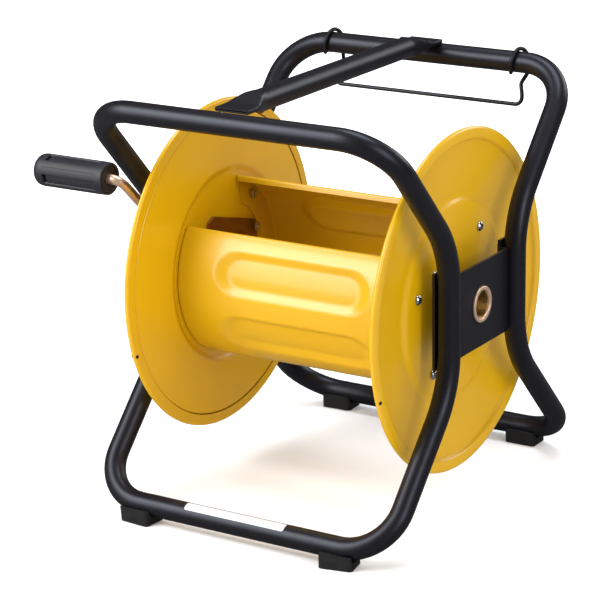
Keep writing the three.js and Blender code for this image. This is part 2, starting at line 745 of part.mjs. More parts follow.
add('crank_grip', grip.translate(atGrip), PLASTIC);

// ---------------------------------------------------------------- wire bail

// One hook over the rear top bar, from its tip at the front to the leg at the back.
function bailHook(legX) {
  const stations = [];
  const steps = 11;
  for (let i = 0; i <= steps; i += 1) {
    const left = 1 - i / steps;
    const angle = rad(HOOK_WRAP_DEG * left);
    stations.push(new THREE.Vector3(
      legX - HOOK_SHIFT * left,
      TOP_BAR_Y + HOOK_R * Math.cos(angle),
      TOP_BAR_Z + HOOK_R * Math.sin(angle),
    ));
  }
  return stations;
}

const backY = TOP_BAR_Y + HOOK_R;
const lowY = TOP_BAR_Y - BAIL_LEAN;
const lowZ = TOP_BAR_Z - BAIL_DROP;
const leg = (x, inward) => [
  [x, backY - 0.4, TOP_BAR_Z - TUBE_R - 1.9, 6, 2],
  [x + inward * BAIL_JOG, backY - 7, TOP_BAR_Z - TUBE_R - 12.9, 6, 2],
  [x, lowY + 2, lowZ + 9.5, 6, 2],
];
const rightHook = bailHook(BAIL_X);
const leftHook = bailHook(-BAIL_X);
const wire = bentPath([
  rightHook.at(-1).toArray(),
  ...leg(BAIL_X, -1),
  [BAIL_X, lowY, lowZ, BAIL_BEND, 4],
  [-BAIL_X, lowY, lowZ, BAIL_BEND, 4],
  ...leg(-BAIL_X, 1).reverse(),
  leftHook.at(-1).toArray(),
]);
const bailStations = [...rightHook.slice(0, -1), ...wire, ...leftHook.slice(0, -1).reverse()];
add('hose_guide_bail', sweep(bailStations, WIRE_R, 6), BLACK_COAT);

// ---------------------------------------------------------------- origin at the bottom centre

const bounds = new THREE.Box3().setFromObject(reel);
const centre = bounds.getCenter(new THREE.Vector3());
for (const mesh of reel.children) {
  mesh.geometry.translate(-centre.x, -centre.y, -bounds.min.z);
  mesh.geometry.computeVertexNormals();
}

export default reel;
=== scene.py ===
# %% [markdown]
# # A free-standing hose reel, dressed in Blender
#
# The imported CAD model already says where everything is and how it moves. This lesson keeps
# that frame still and builds the fine surfaces round it: smooth bent tubes, pressed sheet
# metal with rolled rims, turned parts, a moulded grip and the finishes on all of them.
#
# Everything is modelled in millimetres about the centre of the axle, because that is how a
# maker would measure a reel, and moved to metres in the frame of the model at the very end.

# %% Load the frame
import math

import bmesh
import bpy
from mathutils import Matrix, Vector


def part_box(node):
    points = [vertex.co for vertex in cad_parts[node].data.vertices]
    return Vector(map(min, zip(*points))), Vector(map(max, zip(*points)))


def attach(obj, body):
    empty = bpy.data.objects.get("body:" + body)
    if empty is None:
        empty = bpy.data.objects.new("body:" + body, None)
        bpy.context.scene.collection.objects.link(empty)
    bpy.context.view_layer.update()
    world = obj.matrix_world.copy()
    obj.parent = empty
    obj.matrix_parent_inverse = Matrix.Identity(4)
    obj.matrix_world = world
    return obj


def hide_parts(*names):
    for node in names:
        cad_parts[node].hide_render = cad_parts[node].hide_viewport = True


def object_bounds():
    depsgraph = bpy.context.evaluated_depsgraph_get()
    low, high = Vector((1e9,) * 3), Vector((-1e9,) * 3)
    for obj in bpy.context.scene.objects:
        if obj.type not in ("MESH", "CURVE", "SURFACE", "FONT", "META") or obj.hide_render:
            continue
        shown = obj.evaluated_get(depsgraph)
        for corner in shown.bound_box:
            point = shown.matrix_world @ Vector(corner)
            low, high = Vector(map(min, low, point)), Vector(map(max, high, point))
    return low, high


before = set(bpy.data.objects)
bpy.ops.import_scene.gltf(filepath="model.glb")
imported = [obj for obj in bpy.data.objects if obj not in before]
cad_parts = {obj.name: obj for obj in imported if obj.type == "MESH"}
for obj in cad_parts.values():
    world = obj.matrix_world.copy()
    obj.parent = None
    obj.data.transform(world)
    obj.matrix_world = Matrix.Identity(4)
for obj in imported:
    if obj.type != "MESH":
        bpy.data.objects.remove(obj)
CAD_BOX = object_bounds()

# %% [markdown]
# ## Measuring from the frame
#
# A model that must stay inside a CAD box should take its places from that box. The middle of
# the two flanges is the middle of the axle, and the outside of a loop gives the bend line of
# its tube once half a tube is taken off. Sizes that no box shows, such as a sheet thickness,
# are named here as the maker's own numbers.

# %% The axle centre and the main places
MM = 0.001


def span(node):
    """Lowest and highest corner of a CAD node, in millimetres about the axle centre."""
    low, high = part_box(node)
    return (low - AXLE) / MM, (high - AXLE) / MM


AXLE = Vector((0, 0, 0))
left_low, left_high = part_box("flange_left")
right_low, right_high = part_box("flange_right")
AXLE = Vector([(min(left_low[i], right_low[i]) + max(left_high[i], right_high[i])) / 2
               for i in range(3)])
FLOOR_Z = CAD_BOX[0].z

TUBE_R = 11.1
TUBE_WALL = 1.6
TOP_BAR_Y = 187.5
loop_low, loop_high = span("rear_loop")
LOOP_X = loop_high.x - TUBE_R
TOP_BAR = Vector((0, TOP_BAR_Y, loop_high.z - TUBE_R))
BOTTOM_BAR = Vector((0, loop_high.y - TUBE_R, loop_low.z + TUBE_R))
WAIST_Y = loop_low.y + TUBE_R
WAIST_TOP, WAIST_BOTTOM = 73, -66
CORNER_BEND, WAIST_BEND = 50, 95
SHEET = 1.2
print("axle centre (mm):", [round(c / MM, 1) for c in AXLE], "loop half width:", round(LOOP_X, 1))

# %% [markdown]
# ## Camera, floor and light
#
# The camera is set first, so that every later look is through the same eye. A long lens from
# two and a half metres keeps the upright tubes nearly parallel. It looks a little below and
# to one side of the axle, which centres the whole reel without shifting the lens.
#
# The floor is a plain pale disc. The light is that of a small product studio, with five soft
# boxes: a big one above and in front, a tall one on the inlet side, one overhead, one behind
# and a low one in front that fills the shade. The surround is bright where the camera sees
# it, dimmer for the faces it lights and darkest in the gloss, so the gloss shows soft boxes
# and not a flat white sky.

# %% Camera
CAMERA_AZIMUTH, CAMERA_ELEVATION, CAMERA_ROLL = 31.37, 16.95, -0.78
CAMERA_DISTANCE = 2.545
CAMERA_LENS = 149.8
AIM_RIGHT, AIM_UP = 0.01494, 0.00801

azimuth, elevation = math.radians(CAMERA_AZIMUTH), math.radians(CAMERA_ELEVATION)
back = Vector((
    math.sin(azimuth) * math.cos(elevation),
    -math.cos(azimuth) * math.cos(elevation),
    math.sin(elevation),
))
level = Vector((math.cos(azimuth), math.sin(azimuth), 0))
upright = back.cross(level)
roll = math.radians(CAMERA_ROLL)
rolled_right = level * math.cos(roll) + upright * math.sin(roll)
rolled_up = upright * math.cos(roll) - level * math.sin(roll)

look = (-back - rolled_right * AIM_RIGHT - rolled_up * AIM_UP).normalized()
camera_z = -look
camera_x = rolled_up.cross(camera_z).normalized()
camera_y = camera_z.cross(camera_x)

camera_data = bpy.data.cameras.new("camera")
camera_data.lens = CAMERA_LENS
camera_data.sensor_width = 36
camera_data.clip_end = 60
camera = bpy.data.objects.new("camera", camera_data)
bpy.context.scene.collection.objects.link(camera)
turned = Matrix((camera_x, camera_y, camera_z)).transposed().to_4x4()
camera.matrix_world = Matrix.Translation(AXLE + back * CAMERA_DISTANCE) @ turned
bpy.context.scene.camera = camera
print("camera at", [round(c, 3) for c in camera.matrix_world.translation])


# %% Node helpers
def add_node(tree, kind, settings=None, **values):
    """A node with its settings, and the start values of its named sockets."""
    node = tree.nodes.new(kind)
    for key, value in (settings or {}).items():
        setattr(node, key, value)
    for key, value in values.items():
        node.inputs[key.replace("_", " ")].default_value = value
    return node


def join(tree, *pairs):
    for start, end in pairs:
        tree.links.new(start, end)


def shade(red, green, blue):
    """A colour as a shader wants it, from the 0 to 255 numbers of a paint chart."""
    def linear(c):
        c /= 255
        return c / 12.92 if c <= 0.04045 else ((c + 0.055) / 1.055) ** 2.4
    return (linear(red), linear(green), linear(blue), 1)


# %% Floor
def floor_finish():
    finish = bpy.data.materials.new("studio_floor")
    finish.use_nodes = True
    tree = finish.node_tree
    shader = tree.nodes["Principled BSDF"]
    place = add_node(tree, "ShaderNodeTexCoord").outputs["Object"]
    seen = add_node(tree, "ShaderNodeLightPath")
    cloud = add_node(tree, "ShaderNodeTexNoise", Scale=1.4, Detail=2)
    tone = add_node(tree, "ShaderNodeMix", {"data_type": "RGBA"})
    tone.inputs["A"].default_value = shade(244, 244, 244)
    tone.inputs["B"].default_value = shade(250, 250, 250)
    # In reflections the floor is painted a darker grey: painted shade, so glossy parts stay dark on
    # their lower sides.
    mirrored = add_node(tree, "ShaderNodeMix", {"data_type": "RGBA"})
    mirrored.inputs["B"].default_value = shade(96, 96, 98)
    outwards = add_node(tree, "ShaderNodeVectorMath", {"operation": "LENGTH"})
    glow = add_node(tree, "ShaderNodeMapRange", {"interpolation_type": "SMOOTHSTEP"})
    for label, value in (("From Min", 0.25), ("From Max", 1.0), ("To Min", 0.06), ("To Max", 0.75)):
        glow.inputs[label].default_value = value
    only_seen = add_node(tree, "ShaderNodeMath", {"operation": "MULTIPLY"})
    join(tree, (place, cloud.inputs["Vector"]), (cloud.outputs["Fac"], tone.inputs["Factor"]),
         (seen.outputs["Is Glossy Ray"], mirrored.inputs["Factor"]),
         (tone.outputs["Result"], mirrored.inputs["A"]),
         (mirrored.outputs["Result"], shader.inputs["Base Color"]),
         (place, outwards.inputs["Vector"]), (outwards.outputs["Value"], glow.inputs["Value"]),
         (glow.outputs["Result"], only_seen.inputs[0]),
         (seen.outputs["Is Camera Ray"], only_seen.inputs[1]),
         (only_seen.outputs["Value"], shader.inputs["Emission Strength"]))
    shader.inputs["Emission Color"].default_value = (1, 1, 1, 1)
    shader.inputs["Roughness"].default_value = 0.9
    shader.inputs["Specular IOR Level"].default_value = 0.1
    return finish


FLOOR_RADIUS, FLOOR_GAP = 14, 0.0004
bm = bmesh.new()
bmesh.ops.create_circle(bm, cap_ends=True, segments=96, radius=FLOOR_RADIUS)
bmesh.ops.translate(bm, vec=(0, 0, FLOOR_Z - FLOOR_GAP), verts=bm.verts)
floor_mesh = bpy.data.meshes.new("floor")
bm.to_mesh(floor_mesh)
bm.free()
floor = bpy.data.objects.new("floor", floor_mesh)
floor_mesh.materials.append(floor_finish())
bpy.context.scene.collection.objects.link(floor)
print("floor at z =", round(FLOOR_Z, 4))


# %% Soft boxes and surround
def soft_box(name, direction, distance, width, height, power, tint=(1, 1, 1)):
    """A rectangular light that faces the axle from a direction."""
    data = bpy.data.lights.new(name, "AREA")
    data.shape = "RECTANGLE"
    data.size, data.size_y = width, height
    data.energy = power
    data.color = tint
    light = bpy.data.objects.new(name, data)
    bpy.context.scene.collection.objects.link(light)
    outward = Vector(direction).normalized()
    light.location = AXLE + outward * distance
    light.rotation_euler = outward.to_track_quat("Z", "Y").to_euler()


soft_box("key_box", (-0.50, -0.64, 0.60), 2.4, 1.5, 1.25, 52, (1, 0.99, 0.97))
soft_box("side_box", (0.95, -0.35, 0.42), 2.6, 0.9, 1.5, 24)
soft_box("top_box", (0.05, 0.20, 1.0), 2.3, 1.8, 0.7, 30, (0.90, 0.94, 1))
soft_box("rear_box", (0.35, 0.95, 0.40), 2.8, 1.6, 1.0, 18)
soft_box("low_front_box", (-0.48, -0.84, 0.215), 2.6, 1.6, 1.0, 20)

SEEN_GLOW, LIT_GLOW, GLOSS_GLOW = 1.05, 0.68, 0.08
world = bpy.data.worlds.new("surround")
bpy.context.scene.world = world
world.use_nodes = True
sky = world.node_tree
surround = sky.nodes["Background"]
seen = add_node(sky, "ShaderNodeLightPath")
for_gloss = add_node(sky, "ShaderNodeMapRange")
for_gloss.inputs["To Min"].default_value = LIT_GLOW
for_gloss.inputs["To Max"].default_value = GLOSS_GLOW
for_camera = add_node(sky, "ShaderNodeMapRange")
for_camera.inputs["To Max"].default_value = SEEN_GLOW
join(sky, (seen.outputs["Is Glossy Ray"], for_gloss.inputs["Value"]),
     (for_gloss.outputs["Result"], for_camera.inputs["To Min"]),
     (seen.outputs["Is Camera Ray"], for_camera.inputs["Value"]),
     (for_camera.outputs["Result"], surround.inputs["Strength"]))
surround.inputs["Color"].default_value = (1, 1, 1, 1)
bpy.context.scene.view_settings.view_transform = "Standard"

# %% [markdown]
# ## Finishes: three shared effects
#
# Every finish on the reel is one of three families. Paint is a poured skin: two very close
# tones, a faint orange peel and a gloss that changes a little over the surface. Plated metal
# has a crystal pattern from the zinc bath and fine marks from handling. Moulded rubber and
# plastic have a fine pebbled grain. Each family is one node group, built once, that puts out
# a colour, a roughness and a height. A material places the group with its own values and
# keeps the shader itself.


# %% Group helper
def new_group(name, inputs):
    """A node group with named inputs, and the outputs Colour, Roughness and Height."""
    tree = bpy.data.node_groups.new(name, "ShaderNodeTree")
    for label, kind, value in inputs:
        socket = tree.interface.new_socket(label, in_out="INPUT", socket_type=kind)
        socket.default_value = value
    for label, kind in (("Colour", "NodeSocketColor"), ("Roughness", "NodeSocketFloat"),
                        ("Height", "NodeSocketFloat")):
        tree.interface.new_socket(label, in_out="OUTPUT", socket_type=kind)
    start = tree.nodes.new("NodeGroupInput").outputs
    end = tree.nodes.new("NodeGroupOutput").inputs
    return tree, start, end


def two_tones(tree, mask, first, second, target):
    """Mixes two colours by a mask."""
    blend = add_node(tree, "ShaderNodeMix", {"data_type": "RGBA"})
    join(tree, (mask, blend.inputs["Factor"]), (first, blend.inputs["A"]),
         (second, blend.inputs["B"]), (blend.outputs["Result"], target))


def between(tree, mask, low, high, target):
    """Scales a mask to run from a low to a high value."""
    scaled = add_node(tree, "ShaderNodeMapRange")
    join(tree, (mask, scaled.inputs["Value"]), (low, scaled.inputs["To Min"]),
         (high, scaled.inputs["To Max"]), (scaled.outputs["Result"], target))


COLOUR, NUMBER = "NodeSocketColor", "NodeSocketFloat"


# %% Paint skin
def build_paint_skin():
    tree, start, end = new_group("paint_skin", [
        ("Tone", COLOUR, (0.5, 0.5, 0.5, 1)),
        ("Thin Tone", COLOUR, (0.5, 0.5, 0.5, 1)),
        ("Gloss Low", NUMBER, 0.1),
        ("Gloss High", NUMBER, 0.3),
        ("Peel Scale", NUMBER, 500),
    ])
    place = add_node(tree, "ShaderNodeTexCoord").outputs["Object"]
    cloud = add_node(tree, "ShaderNodeTexNoise", Scale=14, Detail=4, Roughness=0.6)
    smear = add_node(tree, "ShaderNodeTexNoise", Scale=38, Detail=5, Roughness=0.7)
    peel = add_node(tree, "ShaderNodeTexNoise", Detail=1.5, Roughness=0.45)
    join(tree, (place, cloud.inputs["Vector"]), (place, smear.inputs["Vector"]),
         (place, peel.inputs["Vector"]), (start["Peel Scale"], peel.inputs["Scale"]),
         (peel.outputs["Fac"], end["Height"]))
    two_tones(tree, cloud.outputs["Fac"], start["Tone"], start["Thin Tone"], end["Colour"])
    between(tree, smear.outputs["Fac"], start["Gloss Low"], start["Gloss High"], end["Roughness"])
    return tree


PAINT_SKIN = build_paint_skin()


# %% Plated metal
def build_plated_metal():
    tree, start, end = new_group("plated_metal", [
        ("Tone", COLOUR, (0.6, 0.6, 0.6, 1)),
        ("Second Tone", COLOUR, (0.6, 0.6, 0.6, 1)),
        ("Gloss Low", NUMBER, 0.2),
        ("Gloss High", NUMBER, 0.4),
        ("Bloom Scale", NUMBER, 60),
    ])
    place = add_node(tree, "ShaderNodeTexCoord").outputs["Object"]
    bloom = add_node(tree, "ShaderNodeTexNoise", Detail=3, Roughness=0.55, Distortion=0.8)
    crystal = add_node(tree, "ShaderNodeTexVoronoi", Scale=420)
    rubbed = add_node(tree, "ShaderNodeMapping")
    rubbed.inputs["Scale"].default_value = (1, 9, 9)
    marks = add_node(tree, "ShaderNodeTexNoise", Scale=190, Detail=6, Roughness=0.75)
    join(tree, (place, bloom.inputs["Vector"]), (start["Bloom Scale"], bloom.inputs["Scale"]),
         (place, crystal.inputs["Vector"]), (place, rubbed.inputs["Vector"]),
         (rubbed.outputs["Vector"], marks.inputs["Vector"]))
    spread = add_node(tree, "ShaderNodeMapRange")
    spread.inputs["From Min"].default_value = 0.36
    spread.inputs["From Max"].default_value = 0.64
    join(tree, (bloom.outputs["Fac"], spread.inputs["Value"]))
    two_tones(tree, spread.outputs["Result"], start["Tone"], start["Second Tone"], end["Colour"])
    between(tree, marks.outputs["Fac"], start["Gloss Low"], start["Gloss High"], end["Roughness"])
    both = add_node(tree, "ShaderNodeMath", {"operation": "MULTIPLY_ADD"})
    both.inputs[1].default_value = 0.35
    join(tree, (crystal.outputs["Distance"], both.inputs[0]),
         (marks.outputs["Fac"], both.inputs[2]), (both.outputs["Value"], end["Height"]))
    return tree


PLATED_METAL = build_plated_metal()


# %% Moulded grain
def build_moulded_grain():
    tree, start, end = new_group("moulded_grain", [
        ("Tone", COLOUR, (0.02, 0.02, 0.02, 1)),
        ("Dusty Tone", COLOUR, (0.05, 0.05, 0.05, 1)),
        ("Gloss Low", NUMBER, 0.5),
        ("Gloss High", NUMBER, 0.8),
        ("Grain Scale", NUMBER, 900),
    ])
    place = add_node(tree, "ShaderNodeTexCoord").outputs["Object"]
    dust = add_node(tree, "ShaderNodeTexNoise", Scale=70, Detail=6, Roughness=0.72)
    pebble = add_node(tree, "ShaderNodeTexVoronoi", {"feature": "SMOOTH_F1"}, Smoothness=0.7)
    join(tree, (place, dust.inputs["Vector"]), (place, pebble.inputs["Vector"]),
         (start["Grain Scale"], pebble.inputs["Scale"]),
         (pebble.outputs["Distance"], end["Height"]))
    settled = add_node(tree, "ShaderNodeMapRange")
    settled.inputs["From Min"].default_value = 0.45
    settled.inputs["From Max"].default_value = 0.85
    join(tree, (dust.outputs["Fac"], settled.inputs["Value"]))
    two_tones(tree, settled.outputs["Result"], start["Tone"], start["Dusty Tone"], end["Colour"])
    between(tree, dust.outputs["Fac"], start["Gloss Low"], start["Gloss High"], end["Roughness"])
    return tree


MOULDED_GRAIN = build_moulded_grain()
print("effects:", [g.name for g in bpy.data.node_groups])

# %% [markdown]
# ## The finishes themselves
#
# A finish is a group, its values and a few plain settings on the shader. Every group takes
# its values in the same order: two tones, the lowest and highest roughness, and the scale of
# its pattern. Gloss paint gets a clear coat. The black coat is satin, so it has none and its
# base is rougher. Zinc and the two chromate colours are metals. The bump distance is a real
# height: a tenth of a millimetre of orange peel at most.


# %% Make the finishes
def make_finish(name, group, tone, second, gloss, scale, bump, metallic=0, coat=0,
                coat_roughness=0.1, specular=0.5, tint=(1, 1, 1, 1)):
    """A material: two tones, gloss from-to and pattern scale for its group, bump (part, metres)."""
    finish = bpy.data.materials.new(name)
    finish.use_nodes = True
    tree = finish.node_tree
    shader = tree.nodes["Principled BSDF"]
    effect = add_node(tree, "ShaderNodeGroup", {"node_tree": group})
    for socket, value in zip(effect.inputs, (shade(*tone), shade(*second), *gloss, scale)):
        socket.default_value = value
    relief = add_node(tree, "ShaderNodeBump", Strength=bump[0], Distance=bump[1])
    join(tree, (effect.outputs["Colour"], shader.inputs["Base Color"]),
         (effect.outputs["Roughness"], shader.inputs["Roughness"]),
         (effect.outputs["Height"], relief.inputs["Height"]),
         (relief.outputs["Normal"], shader.inputs["Normal"]))
    for label, value in (("Metallic", metallic), ("Coat Weight", coat),
                         ("Coat Roughness", coat_roughness), ("Specular IOR Level", specular),
                         ("Specular Tint", tint)):
        shader.inputs[label].default_value = value
    return finish


PEEL, FILM = 0.0001, 0.00005
YELLOW = make_finish("yellow_gloss_paint", PAINT_SKIN, (209, 162, 1), (203, 153, 0),
                     (0.26, 0.36), 330, (0.10, PEEL), coat=0.3, coat_roughness=0.14)
BLACK = make_finish("black_satin_coat", PAINT_SKIN, (14, 12, 15), (19, 17, 22),
                    (0.34, 0.44), 700, (0.16, PEEL), specular=0.42, tint=(0.80, 0.84, 1, 1))
ZINC = make_finish("bright_zinc", PLATED_METAL, (214, 218, 224), (188, 192, 200),
                   (0.14, 0.30), 160, (0.12, FILM), metallic=1)
YELLOW_ZINC = make_finish("yellow_chromate", PLATED_METAL, (252, 222, 178), (252, 210, 196),
                          (0.32, 0.48), 55, (0.12, FILM), metallic=0.85)
DARK_ZINC = make_finish("olive_chromate", PLATED_METAL, (158, 128, 62), (150, 108, 66),
                        (0.34, 0.50), 40, (0.14, FILM), metallic=1)
RUBBER = make_finish("black_rubber", MOULDED_GRAIN, (21, 21, 22), (34, 33, 33),
                     (0.62, 0.82), 900, (0.25, PEEL), specular=0.3)
GRIP_PLASTIC = make_finish("grip_plastic", MOULDED_GRAIN, (28, 27, 35), (38, 36, 45),
                           (0.42, 0.58), 1300, (0.22, PEEL), specular=0.45)
BUSH_PLASTIC = make_finish("bush_plastic", MOULDED_GRAIN, (18, 18, 20), (28, 28, 30),
                           (0.40, 0.60), 1500, (0.15, FILM))
LABEL_FILM = make_finish("white_label_film", MOULDED_GRAIN, (206, 205, 214), (192, 190, 203),
                         (0.28, 0.42), 2200, (0.06, FILM))
FINISHES = {
    "yellow_paint": YELLOW, "black_coat": BLACK, "zinc": ZINC, "yellow_zinc": YELLOW_ZINC,
    "dark_zinc": DARK_ZINC, "rubber": RUBBER, "plastic": GRIP_PLASTIC,
}
print("finishes:", [m.name for m in bpy.data.materials])

# %% [markdown]
# ## The modelling kit
#
# A ring of edges can be pushed straight or spun round a centre, which is what a tube bender
# does. An outline can be turned about the axle, which is a lathe. A thin surface can be given
# a wall, which is sheet metal. `face_outwards` merges doubles and turns the faces out, and
# `finish_piece` closes each job: it moves the work to its place in metres, shades and paints
# it, and hands it to its body.

# %% Rings, pushes and bends
SIDEWAYS = Matrix(((0, 0, 1, 0), (1, 0, 0, 0), (0, 1, 0, 0), (0, 0, 0, 1)))


def edges_of(verts):
    return list({e for v in verts for e in v.link_edges})


def verts_of(edges):
    return list({v for e in edges for v in e.verts})


def only(kind, made):
    """The verts ("BMVert") or edges ("BMEdge") among what an operator made."""
    return [g for g in made if isinstance(g, getattr(bmesh.types, kind))]


def move(bm, step, verts=None):
    bmesh.ops.translate(bm, vec=step, verts=verts or bm.verts)


def resize(bm, factors, verts=None):
    bmesh.ops.scale(bm, vec=factors, verts=verts or bm.verts)


def mirror_left(bm):
    """Mirrors the work to the left side and turns its faces out again."""
    resize(bm, (-1, 1, 1))
    bmesh.ops.reverse_faces(bm, faces=bm.faces)


def ease(share):
    """A share from 0 to 1 that starts and ends gently."""
    return share * share * (3 - 2 * share)


def ring(bm, centre, heading, radius, sides):
    """An open ring of edges square to its heading."""
    turn = Vector(heading).to_track_quat("Z", "Y").to_matrix().to_4x4()
    made = bmesh.ops.create_circle(bm, segments=sides, radius=radius,
                                   matrix=Matrix.Translation(centre) @ turn)
    return edges_of(made["verts"])


def push(bm, edges, step):
    """Extrudes edges along a straight step and returns the new front edges."""
    made = bmesh.ops.extrude_edge_only(bm, edges=edges)["geom"]
    front = set(only("BMVert", made))
    move(bm, step, list(front))
    return [e for e in only("BMEdge", made) if front.issuperset(e.verts)]


def bend(bm, edges, centre, axis, angle, steps, slide=(0, 0, 0)):
    """Spins edges round a centre and returns the new front edges."""
    made = bmesh.ops.spin(bm, geom=verts_of(edges) + edges, cent=centre, axis=axis, dvec=slide,
                          angle=angle, steps=steps)
    return only("BMEdge", made["geom_last"])


def follow(bm, edges, here, corners):
    """Runs edges from a point through [corner, bend radius, steps]; radius 0 is a plain stop."""
    for i, (corner, radius, steps) in enumerate(corners):
        corner = Vector(corner)
        if not radius:
            edges = push(bm, edges, corner - here)
            here = corner
            continue
        into = (corner - here).normalized()
        out = (Vector(corners[i + 1][0]) - corner).normalized()
        turn = into.angle(out)
        reach = radius * math.tan(turn / 2)
        start = corner - into * reach
        inward = (out - into * out.dot(into)).normalized()
        edges = push(bm, edges, start - here)
        edges = bend(bm, edges, start + inward * radius, into.cross(out).normalized(), turn, steps)
        here = corner + out * reach
    return edges, here


def round_off(bm, geom, width, segments, affect="EDGES", clamp=False):
    bmesh.ops.bevel(bm, geom=geom, offset=width, offset_type="OFFSET", segments=segments,
                    profile=0.5, affect=affect, clamp_overlap=clamp, material=-1)


def cap(bm, edges, rounding):
    """Closes an open end and rounds its rim."""
    bmesh.ops.contextual_create(bm, geom=edges)
    round_off(bm, edges, rounding, 3)


# %% Outlines and turning
def outline(bm, points, closed=True):
    """A chain of edges in the upright plane of the axle, from [radius, x, rounding] points."""
    verts = [bm.verts.new((x, 0, radius)) for radius, x, _ in points]
    pairs = list(zip(verts, verts[1:]))
    if closed and (points[0][0] > 0 or points[-1][0] > 0):
        pairs.append((verts[-1], verts[0]))
    for pair in pairs:
        bm.edges.new(pair)
    for vert, (_, _, rounding) in zip(verts, points):
        if rounding:
            round_off(bm, [vert], rounding, 4, "VERTICES")
    return bm.edges[:]


def turn_round(bm, steps):
    """Spins everything in the mesh once about the axle."""
    bmesh.ops.spin(bm, geom=bm.verts[:] + bm.edges[:], cent=(0, 0, 0), axis=(1, 0, 0),
                   dvec=(0, 0, 0), angle=math.tau, steps=steps, use_merge=True)


def at_angle(radius, degrees, x=0.0):
    """The point at a radius and angle about the axle; 90 degrees is straight up."""
    angle = math.radians(degrees)
    return Vector((x, radius * math.cos(angle), radius * math.sin(angle)))


# %% Holes, soft edges and finishing
MEETING = 0.002


def drill(bm, centre, radius, clear, sides=24):
    """Opens a round hole across the axle direction in a flat region of faces."""
    centre = Vector(centre)
    gone = {f for f in bm.faces if (f.calc_center_median() - centre).length < clear}
    near = {e for f in gone for e in f.edges}
    rim = [e for e in near if sum(f in gone for f in e.link_faces) == 1]
    bmesh.ops.delete(bm, geom=list(gone), context="FACES_ONLY")
    bmesh.ops.delete(bm, geom=list(near.difference(rim)), context="EDGES")
    made = bmesh.ops.create_circle(bm, segments=sides, radius=radius,
                                   matrix=Matrix.Translation(centre) @ SIDEWAYS)
    bmesh.ops.bridge_loops(bm, edges=rim + edges_of(made["verts"]))


def soften(bm, width, segments=2, above=50, where=None):
    """Bevels every edge sharper than an angle."""
    sharp = [e for e in bm.edges if e.calc_face_angle(0) > math.radians(above)
             and (where is None or where(e))]
    round_off(bm, sharp, width, segments, clamp=True)


def open_edges(bm, axis, place):
    """The open edges of a sheet at a place along X (axis 0) or Y (axis 1)."""
    return [e for e in bm.edges if e.is_boundary
            and all(abs(v.co[axis] - place) < 0.01 for v in e.verts)]


def merge(bm):
    """Merges doubles and makes all faces agree."""
    bmesh.ops.remove_doubles(bm, verts=bm.verts, dist=MEETING)
    bmesh.ops.recalc_face_normals(bm, faces=bm.faces)


def thicken(bm, wall):
    """Gives a sheet its wall, on the side that its faces turn away from."""
    bmesh.ops.solidify(bm, geom=bm.faces[:], thickness=wall)


def face_outwards(bm, away_from=(0, 0, 0)):
    """Merges the work and turns it to face away from a point."""
    merge(bm)
    point = Vector(away_from)
    facing = sum(f.calc_area() * f.normal.dot(f.calc_center_median() - point) for f in bm.faces)
    if facing < 0:
        bmesh.ops.reverse_faces(bm, faces=bm.faces)


def finish_piece(bm, name, body, slot, nodes, finish=None, sharp=38, level_shading=False):
    """Places the work in the frame, shades it, paints it and gives it to its body."""
    resize(bm, (MM, MM, MM))
    move(bm, AXLE)
    for face in bm.faces:
        face.smooth = True
    for edge in bm.edges:
        edge.smooth = edge.calc_face_angle(0) < math.radians(sharp)
    mesh = bpy.data.meshes.new(name)
    bm.to_mesh(mesh)
    bm.free()
    made = bpy.data.objects.new(name, mesh)
    bpy.context.scene.collection.objects.link(made)
    mesh.materials.append(finish or FINISHES[slot])
    if level_shading:
        made.modifiers.new("level_shading", "WEIGHTED_NORMAL").keep_sharp = True
    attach(made, body)
    if nodes:
        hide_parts(*nodes)
    print(f"{name}: {len(mesh.polygons)} faces on {body}")


# %% [markdown]
# ## The two tube loops
#
# Each loop is one length of steel tube, bent eight times and butt welded into a ring: wide at
# the top and bottom bars, and drawn in at the waist where the side plates hold the drum. A
# curve with a bevel would draw it, but pushing and spinning a ring of edges is closer to the
# bender's work, keeps every section square to the tube, and puts faces only where it bends.


# %% Bend the loops
def loop_corners(front):
    """The bends from the top bar down the right side, and the same ones up the left side."""
    y = -1 if front else 1
    right = [
        [(LOOP_X, TOP_BAR.y * y, TOP_BAR.z), CORNER_BEND, 14],
        [(LOOP_X, WAIST_Y * y, WAIST_TOP), WAIST_BEND, 10],
        [(LOOP_X, WAIST_Y * y, WAIST_BOTTOM), WAIST_BEND, 10],
        [(LOOP_X, BOTTOM_BAR.y * y, BOTTOM_BAR.z), CORNER_BEND, 14],
    ]
    left = [[(-place[0], *place[1:]), *rest] for place, *rest in reversed(right)]
    return [*right, *left, [(0, TOP_BAR.y * y, TOP_BAR.z), 0, 0]]


for which in ("front", "rear"):
    bm = bmesh.new()
    corners = loop_corners(which == "front")
    beginning = Vector(corners[-1][0])
    first = ring(bm, beginning, (1, 0, 0), TUBE_R, 40)
    follow(bm, first, beginning, corners)
    face_outwards(bm, beginning)
    finish_piece(bm, f"{which}_tube_loop", "frame", "black_coat", [f"{which}_loop"])

# %% [markdown]
# ## The carry handle
#
# The handle is a straight tube whose ends are pressed flat so that they lie on the two top
# bars and can be welded there. The real press keeps the length round the tube the same, so
# the flat end is wider than the tube. Here one ring is extruded along the handle and each
# new ring is reshaped: the height is cut down to the press gap, the width grows, and the
# flat faces come from holding the height at its limit.

# %% Press the handle
handle_low, handle_high = span("carry_handle")
HANDLE_Z = (handle_low.z + handle_high.z) / 2
HANDLE_TIP = handle_high.y
HANDLE_FLAT, HANDLE_ROUND = HANDLE_TIP - 13, HANDLE_TIP - 48
FLAT_HALF_WIDTH, FLAT_HALF_HEIGHT = 19.0, 2.2
HANDLE_WALL = TUBE_WALL + 0.2
OVERFILL, PRESS_STEPS = 2.6, 12


